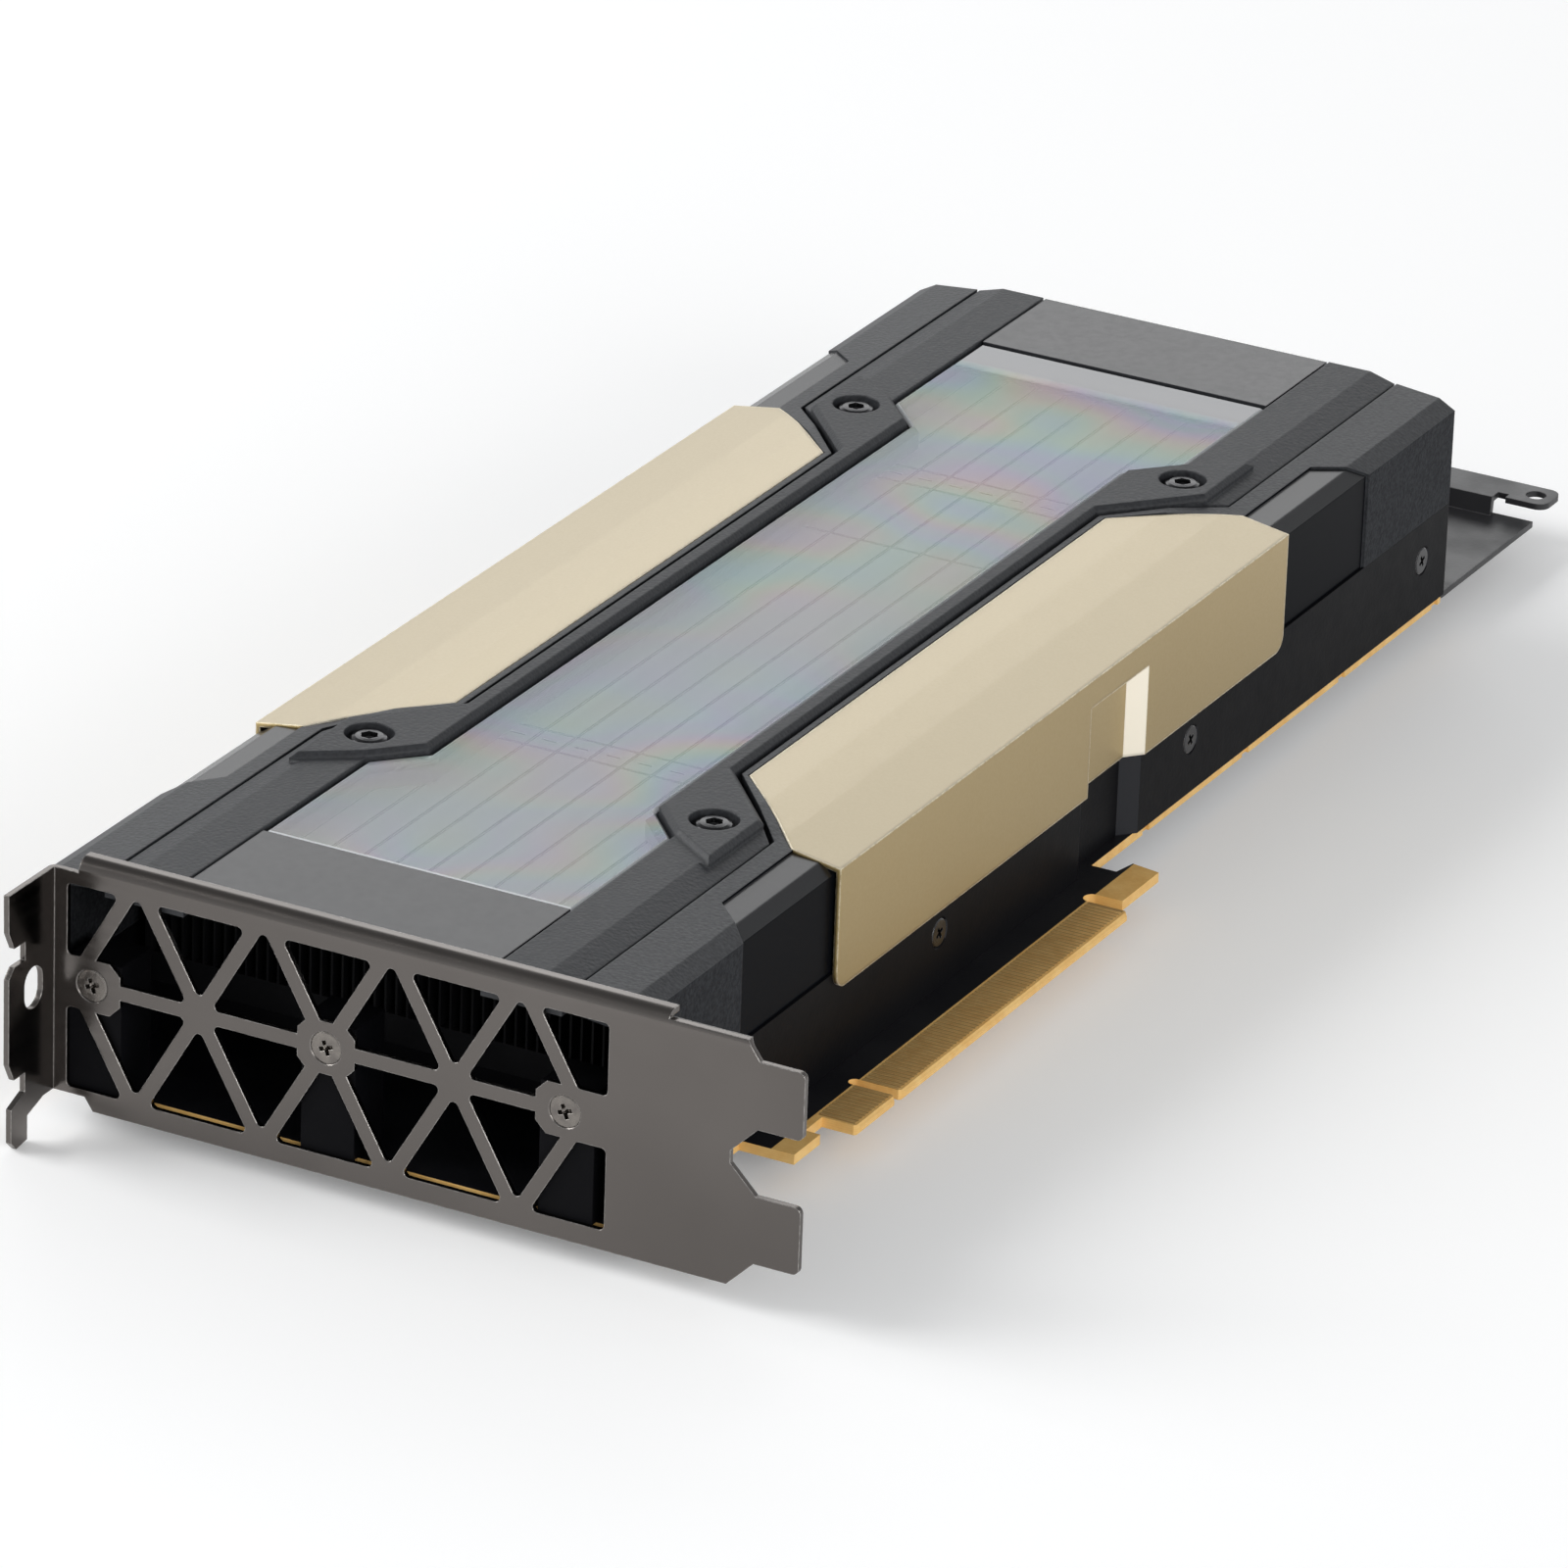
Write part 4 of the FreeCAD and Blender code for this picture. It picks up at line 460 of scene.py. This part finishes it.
nickel = Finish("dark_nickel_plate")
rolled = nickel.noise(1.0, detail=4, roughness=0.6, vector=nickel.stretched(35, 35, 900))
plated = nickel.blend(nickel.spread(nickel.noise(24), 0, 1, 0.3, 0.7), (0.124, 0.113, 0.106),
                      (0.155, 0.142, 0.133))
# Brighter along the sharp edges: bare steel at the cut, and a painted highlight.
sheared_edge_and_glint = nickel.effect(edge_wear_and_highlight, Width=0.00022, Grain=1400.0)["Mask"]
nickel.set(Base_Color=nickel.blend(sheared_edge_and_glint, plated, (0.5, 0.48, 0.46)), Metallic=1.0,
           Roughness=nickel.spread(rolled, 0.17, 0.24))
nickel.relief(rolled, depth=0.000003, rounding=0.0003)
dress(nickel, "io_bracket")

# Side covers and rails: injection-moulded black resin with a fine spark-eroded grain. The covers'
# sunken middles, from the front facet to the rear one, are left smooth for the accent covers.


def build_moulded_grain():
    """Fine pits of a spark-eroded mould: a height, and a tone that follows it."""
    group = bpy.data.node_groups.new("moulded_grain", "ShaderNodeTree")
    group.interface.new_socket("Place", in_out="INPUT", socket_type="NodeSocketVector")
    scale = group.interface.new_socket("Scale", in_out="INPUT", socket_type="NodeSocketFloat")
    scale.default_value = 1500.0
    for label in ("Height", "Tone"):
        group.interface.new_socket(label, in_out="OUTPUT", socket_type="NodeSocketFloat")
    given = group.nodes.new("NodeGroupInput")
    result = group.nodes.new("NodeGroupOutput")
    pits = group.nodes.new("ShaderNodeTexVoronoi")
    put(pits.inputs["Vector"], given.outputs["Place"], group.links)
    put(pits.inputs["Scale"], given.outputs["Scale"], group.links)
    fine = add_node(group, "ShaderNodeTexNoise", given.outputs["Place"], None, given.outputs["Scale"],
                    4.0, 0.65)
    height = add_node(group, "ShaderNodeMath", pits.outputs["Distance"], fine, operation="ADD")
    put(result.inputs["Height"], height, group.links)
    tone = add_node(group, "ShaderNodeMapRange", fine, 0.4, 0.6, 0, 1)
    put(result.inputs["Tone"], tone, group.links)
    return group


moulded_grain = build_moulded_grain()
grain_scale, grain_depth = 1500.0, 0.00005
rubbed_grey = (0.075, 0.078, 0.083)

rail_resin = Finish("grained_black_resin")
grain = rail_resin.effect(moulded_grain, Scale=grain_scale)
rubbed = rail_resin.effect(edge_wear_and_highlight, Width=0.0006, Grain=500.0, Amount=0.35)["Mask"]
resin = rail_resin.blend(grain["Tone"], (0.019, 0.020, 0.023), (0.031, 0.033, 0.037))
rail_resin.set(Base_Color=rail_resin.blend(rubbed, resin, rubbed_grey), Specular_IOR_Level=0.42,
               Roughness=rail_resin.share(grain["Tone"], 0.46, 0.56))
rail_resin.relief(grain["Height"], grain_depth, rounding=0.0005)
dress(rail_resin, "rail_left", "rail_right")

window_low, window_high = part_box("window")
card_middle = as_drawn((window_low.x + window_high.x) / 2)
roof_edge = as_drawn(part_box("side_cover_right")[1].x - card_middle)
smooth_inner = roof_edge - 0.007
smooth_front, smooth_rear, facet_run = bracket_face + 0.0335, bracket_face + 0.236, 0.0065

cover_resin = Finish("black_resin_with_smooth_middle")
from_middle = cover_resin.work_out("ABSOLUTE", cover_resin.work_out("SUBTRACT", cover_resin.along("X"),
                                                                    card_middle))
lean = cover_resin.spread(from_middle, facet_run, 0.0, smooth_inner, roof_edge)
leaned_back = cover_resin.work_out("SUBTRACT", cover_resin.along("Y"), lean)
leaned_on = cover_resin.work_out("ADD", cover_resin.along("Y"), lean)
behind_front = cover_resin.work_out("GREATER_THAN", leaned_back, smooth_front)
before_rear = cover_resin.work_out("LESS_THAN", leaned_on, smooth_rear)
outside = cover_resin.work_out("GREATER_THAN", from_middle, smooth_inner)
smooth_part = cover_resin.work_out("MULTIPLY", behind_front, before_rear)
smooth_part = cover_resin.work_out("MULTIPLY", smooth_part, outside)
grain = cover_resin.effect(moulded_grain, Scale=grain_scale)
rubbed = cover_resin.effect(edge_wear_and_highlight, Width=0.0005, Grain=500.0, Amount=0.35)["Mask"]
resin = cover_resin.blend(grain["Tone"], (0.024, 0.025, 0.028), (0.038, 0.040, 0.044))
resin = cover_resin.blend(rubbed, resin, rubbed_grey)
cover_resin.set(Base_Color=cover_resin.blend(smooth_part, resin, (0.004, 0.0045, 0.006)),
                Roughness=cover_resin.share(smooth_part, 0.5, 0.27),
                # The side faces get a lower specular level than the tops: painted shade on the sides.
                Specular_IOR_Level=cover_resin.spread(cover_resin.facing("Z"), 0.02, 0.5, 0.3, 0.9))
damped = cover_resin.work_out("MULTIPLY", grain["Height"], cover_resin.share(smooth_part, 1.0, 0.06))
cover_resin.relief(damped, grain_depth, rounding=0.0004)
dress(cover_resin, "side_cover_left", "side_cover_right")

# Top panels: smooth black resin mouldings that close the top at either end of the window, held between
# the rails.
smooth = Finish("smooth_black_resin")
smooth.set(Base_Color=smooth.mottled(120, (0.012, 0.0125, 0.015), (0.016, 0.0165, 0.019)),
           Specular_IOR_Level=0.32, Roughness=smooth.spread(smooth.noise(700), 0.2, 0.24))
smooth.relief(smooth.noise(1800), depth=0.000004, rounding=0.0003)
dress(smooth, "front_panel", "rear_panel")

# Window: a clear polished sheet under a thin protective film, whose uneven thickness shows as pale
# bands of colour, with a bright polished bevel. Over the air gap behind the fins the film is painted
# dark and nearly opaque, a painted shade.
bevel_depth, bevel_lean = 0.0006, 0.9
rear_shade_start, rear_shade_end = window_high.y - 0.0105, window_high.y - 0.0075
band_turns = 5.0
pastels = ((0.0, (0.44, 0.56, 0.62)), (0.16, (0.58, 0.48, 0.68)), (0.3, (0.68, 0.50, 0.54)),
           (0.44, (0.64, 0.62, 0.46)), (0.58, (0.46, 0.66, 0.52)), (0.74, (0.40, 0.60, 0.68)),
           (0.88, (0.48, 0.50, 0.72)), (1.0, (0.44, 0.56, 0.62)))

clear = Finish("filmed_clear_sheet")
drift = clear.noise(1.0, detail=2, roughness=0.4, vector=clear.stretched(20, 11, 30))
warp = clear.noise(1.0, detail=2, roughness=0.4, vector=clear.stretched(11, 24, 10))
thickness = clear.work_out("MULTIPLY", clear.work_out("ADD", drift, warp), band_turns)
tint = clear.tree.nodes.new("ShaderNodeValToRGB")
while len(tint.color_ramp.elements) < len(pastels):
    tint.color_ramp.elements.new(0.5)
for stop, (position, colour) in zip(tint.color_ramp.elements, pastels):
    stop.position = position
    stop.color = (*colour, 1)
put(tint.inputs[0], clear.work_out("FRACT", thickness), clear.tree.links)
strength = clear.spread(clear.noise(17, detail=2), 0.2, 1.0, 0.38, 0.58)
film = clear.blend(strength, (0.50, 0.54, 0.56), tint.outputs[0])
# Near the rear edge the film turns dark and nearly opaque: painted shade over the air gap behind the fins.
painted_rear_shade = clear.spread(clear.along("Y"), 0.0, 1.0, rear_shade_start, rear_shade_end)
film = clear.blend(painted_rear_shade, film, (0.13, 0.135, 0.145))
near_top = clear.work_out("GREATER_THAN", clear.along("Z"), window_high.z - bevel_depth)
polished = clear.work_out("MULTIPLY", clear.work_out("LESS_THAN", clear.facing("Z"), bevel_lean), near_top)
cover_share = clear.work_out("ADD", clear.share(near_top, 0.30, 0.42), clear.share(polished, 0.0, 0.4))
cover_share = clear.work_out("ADD", cover_share, clear.share(painted_rear_shade, 0.0, 0.55), use_clamp=True)
clear.set(Base_Color=clear.blend(polished, film, (0.82, 0.84, 0.86)),
          Roughness=clear.spread(clear.noise(60, detail=2), 0.08, 0.13),
          Alpha=cover_share, Coat_Weight=0.15, Coat_Roughness=0.05)
dress(clear, "window")

# Accent covers: thin aluminium sheet, pressed to a softly crowned shape, blasted and anodised pale
# gold, and clipped over the side covers. Their tops are painted paler than their sides, and their cut
# edges and the end of the latch recess carry painted highlights.
accent_low, accent_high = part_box("accent_cover_right")
crown_inner, crown_outer = accent_low.x - card_middle, accent_high.x - card_middle
end_clear, end_ramp = 0.018, 0.026

gold = Finish("pale_gold_anodising")
blasted = gold.noise(2200, roughness=0.6)
# Sides darker, tops paler by which way the face looks: painted shade on the sides and painted light on the
# tops.
shaded_side_gold = gold.mottled(18, (0.405, 0.292, 0.110), (0.425, 0.310, 0.122))
gold_painted_paler_on_top = gold.blend(gold.spread(gold.facing("Z"), 0, 1, 0.2, 0.9), shaded_side_gold, (0.485, 0.405, 0.255))
# Cream along the sharp edges: a painted edge highlight.
painted_edge_highlight = gold.effect(edge_wear_and_highlight, Width=0.00045, Grain=900.0, Amount=1.0)["Mask"]
# The front-facing ramp at the end of the latch recess gets a cream colour and less metal: a painted
# highlight.
painted_ramp_highlight = gold.work_out("COMPARE", gold.facing("Y"), ramp_lean, lean_margin)
sheet_gold = gold.blend(painted_edge_highlight, gold_painted_paler_on_top, (0.95, 0.86, 0.64))
gold.set(Base_Color=gold.blend(painted_ramp_highlight, sheet_gold, (1.0, 0.93, 0.78)),
         Metallic=gold.share(painted_ramp_highlight, 0.92, 0.35), Roughness=gold.spread(blasted, 0.4, 0.47),
         Coat_Weight=0.75, Coat_Roughness=0.3)
from_middle = gold.work_out("ABSOLUTE", gold.work_out("SUBTRACT", gold.along("X"), card_middle))
crown = gold.work_out("MULTIPLY",
                      gold.spread(from_middle, 0.0, 1.0, crown_inner + 0.0003, crown_inner + 0.0033),
                      gold.spread(from_middle, 1.0, 0.0, crown_outer - 0.0054, crown_outer - 0.0024))
crown = gold.work_out("MULTIPLY", crown, gold.spread(gold.along("Y"), 0.0, 1.0, accent_low.y + end_clear,
                                                     accent_low.y + end_ramp))
crown = gold.work_out("MULTIPLY", crown, gold.spread(gold.along("Y"), 1.0, 0.0, accent_high.y - end_ramp,
                                                     accent_high.y - end_clear))
gold.relief(blasted, depth=0.000008, rounding=gold.share(crown, 0.0009, 0.0035))
dress(gold, "accent_cover_left", "accent_cover_right")

# Back plate and extender bracket: sheet steel, punched, folded and coated satin black, and screwed
# under the board and to the rear of the frame.
coated = Finish("black_coated_sheet")
coating = coated.mottled(60, (0.016, 0.016, 0.018), (0.024, 0.024, 0.026), detail=4)
rubbed = coated.effect(edge_wear_and_highlight, Width=0.0002, Grain=700.0, Amount=0.5)["Mask"]
coated.set(Base_Color=coated.blend(rubbed, coating, (0.16, 0.16, 0.16)),
           Roughness=coated.spread(coated.noise(140), 0.34, 0.44))
coated.relief(coated.noise(1600, detail=2), depth=0.00002, rounding=0.0002)
dress(coated, "back_plate", "extender_bracket")

# Screws: cold-headed steel, plated dark nickel or blackened. Countersunk heads with a cross recess hold
# the bracket, the sides and the back plate, and domed ones with a hex socket the top and the extender.
full_turn = math.tau
quarter_turn, sixth_turn = full_turn / 4, full_turn / 6


def recess_outline(kind, size):
    """Angles and radii of a drive recess's rim, with enough points to round the head's edge."""
    points_round = 48
    angles = {full_turn * i / points_round for i in range(points_round)}
    half_arm = size * 0.3
    if kind == "cross":
        corner = math.atan2(half_arm, size)
        turns = (corner, quarter_turn - corner, quarter_turn / 2)
        angles |= {quarter_turn * arm + turn for arm in range(4) for turn in turns}
    angles = sorted(round(angle % full_turn, 6) for angle in angles)
    outline = []
    for angle in angles:
        if kind == "cross":
            fold = min(angle % quarter_turn, quarter_turn - angle % quarter_turn)
            on_arm_end = math.tan(fold) < half_arm / size + 1e-6
            radius = size / math.cos(fold) if on_arm_end else half_arm / math.sin(fold)
        else:
            fold = angle % sixth_turn - sixth_turn / 2
            radius = size * math.cos(sixth_turn / 2) / math.cos(fold)
        outline.append((angle, radius))
    return outline


def screw_unit(name, profile, kind, recess, depth, turn):
    """A screw, head up and then turned: rings from its recess down its profile's radii and heights."""
    outline = recess_outline(kind, recess)
    count = len(outline)
    top = profile[0][1]
    taper = ((0.55, top - depth), (0.9, top - depth * 0.7), (1.0, top))
    rings = [[(share * radius * math.cos(angle), share * radius * math.sin(angle), level)
              for angle, radius in outline] for share, level in taper]
    rings += [[(radius * math.cos(angle), radius * math.sin(angle), level) for angle, _ in outline]
              for radius, level in profile]
    points = [turn @ Vector(point) for ring in rings for point in ring]
    last = count * (len(rings) - 1)
    faces = [tuple(range(count)), tuple(range(last, last + count))]
    for start in range(0, last, count):
        for i in range(count):
            j = (i + 1) % count
            faces.append((start + i, start + j, start + count + j, start + count + i))
    return make_mesh_piece(name, points, faces)


def shank_end(core, length):
    """The last two rings of a shank: where its taper starts, and its tip."""
    taper, tip = core * 0.4, core * 0.7
    return (core, -length + taper), (tip, -length)


def flush_screw(head, shank, length, recess, depth):
    """A countersunk screw with a cross recess: its head's width, profile and recess."""
    half, core = head / 2, shank / 2
    flat, rim = half * 0.9, half * 0.05
    profile = [(flat, 0), (half, -rim), (core, -(half - core)), *shank_end(core, length)]
    return head, (profile, "cross", recess, depth)


def domed_screw(head, height, shank, length, flat, recess, depth):
    """A button-headed screw with a hex socket: its head's width, profile and recess."""
    half, core = head / 2, shank / 2
    skirt, rise = height * 0.25, height * 0.75
    bow = [(flat + (half - flat) * math.sin(turn), skirt + rise * math.cos(turn))
           for turn in (0.0, 0.35, 0.7, 1.05, 1.35, quarter_turn)]
    profile = [*bow, (half, 0), (core, 0), *shank_end(core, length)]
    return head, (profile, "hex", recess, depth)


facings = {"+z": Matrix.Identity(3), "-z": Matrix.Rotation(full_turn / 2, 3, "X"),
           "-y": Matrix.Rotation(quarter_turn, 3, "X"), "+y": Matrix.Rotation(-quarter_turn, 3, "X"),
           "+x": Matrix.Rotation(quarter_turn, 3, "Y"), "-x": Matrix.Rotation(-quarter_turn, 3, "Y")}


def screws_in(node, facing, counts, kind_of_screw, finish, seat=0.0, spin=0.0):
    """Screws on a grid between the outer ones of a node's box, which they replace."""
    head, shape = kind_of_screw
    low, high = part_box(node)
    axis = "xyz".index(facing[1])
    half_head = Vector((head / 2, head / 2, head / 2))
    first, last = Vector(low) + half_head, Vector(high) - half_head
    level = high[axis] - seat if facing[0] == "+" else low[axis] + seat
    across, lengthwise = [i for i in range(3) if i != axis]
    step = Vector((0, 0, 0))
    step[lengthwise] = (last[lengthwise] - first[lengthwise]) / max(counts[1] - 1, 1)
    starts = []
    for i in range(counts[0]):
        start = Vector(first)
        start[across] += (last[across] - first[across]) * i / max(counts[0] - 1, 1)
        start[axis] = level
        starts.append(start)
    unit = screw_unit(f"{node}_unit", *shape, facings[facing] @ Matrix.Rotation(spin, 3, "Z"))
    piece = repeat_along(f"{node}_detailed", unit, starts, step, counts[1], finish)
    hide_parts(node)


steel = Finish("dark_plated_screw_steel")
worn = steel.effect(edge_wear_and_highlight, Width=0.00012, Grain=1500.0, Amount=0.8)["Mask"]
steel_tone = steel.mottled(600, (0.17, 0.155, 0.145), (0.24, 0.22, 0.20))
steel.set(Base_Color=steel.blend(worn, steel_tone, (0.55, 0.53, 0.5)), Metallic=1.0,
          Roughness=steel.spread(steel.noise(1200), 0.2, 0.32))
steel.relief(steel.noise(3000), depth=0.000005, rounding=0.00012)

black_steel = Finish("black_oxide_screw_steel")
worn = black_steel.effect(edge_wear_and_highlight, Width=0.00015, Grain=1500.0, Amount=0.6)["Mask"]
black_tone = black_steel.mottled(600, (0.035, 0.035, 0.037), (0.055, 0.055, 0.057))
black_steel.set(Base_Color=black_steel.blend(worn, black_tone, (0.4, 0.4, 0.4)), Metallic=0.9,
                Roughness=black_steel.spread(black_steel.noise(1200), 0.16, 0.24))
black_steel.relief(black_steel.noise(3000), depth=0.000005, rounding=0.0001)

bracket_screw = flush_screw(head=0.0049, shank=0.003, length=0.006, recess=0.00115, depth=0.0013)
screws_in("bracket_screws", "-y", (3, 1), bracket_screw, steel, spin=0.35)
side_screw = flush_screw(head=0.0044, shank=0.0025, length=0.0043, recess=0.001, depth=0.001)
for side, facing in (("left", "-x"), ("right", "+x")):
    screws_in(f"side_screws_{side}", facing, (3, 1), side_screw, black_steel, spin=0.5)
top_screw = domed_screw(head=0.0064, height=0.0016, shank=0.003, length=0.008, flat=0.00145,
                        recess=0.0014, depth=0.0011)
screws_in("top_screws", "+z", (2, 2), top_screw, black_steel, seat=0.0016)
plate_screw = flush_screw(head=0.0038, shank=0.0025, length=0.0046, recess=0.0009, depth=0.0009)
screws_in("back_plate_screws", "-z", (2, 2), plate_screw, steel)
extender_screw = domed_screw(head=0.0052, height=0.0018, shank=0.003, length=0.006, flat=0.00125,
                             recess=0.0012, depth=0.0011)
screws_in("extender_screws", "+y", (2, 1), extender_screw, steel, seat=0.0018)
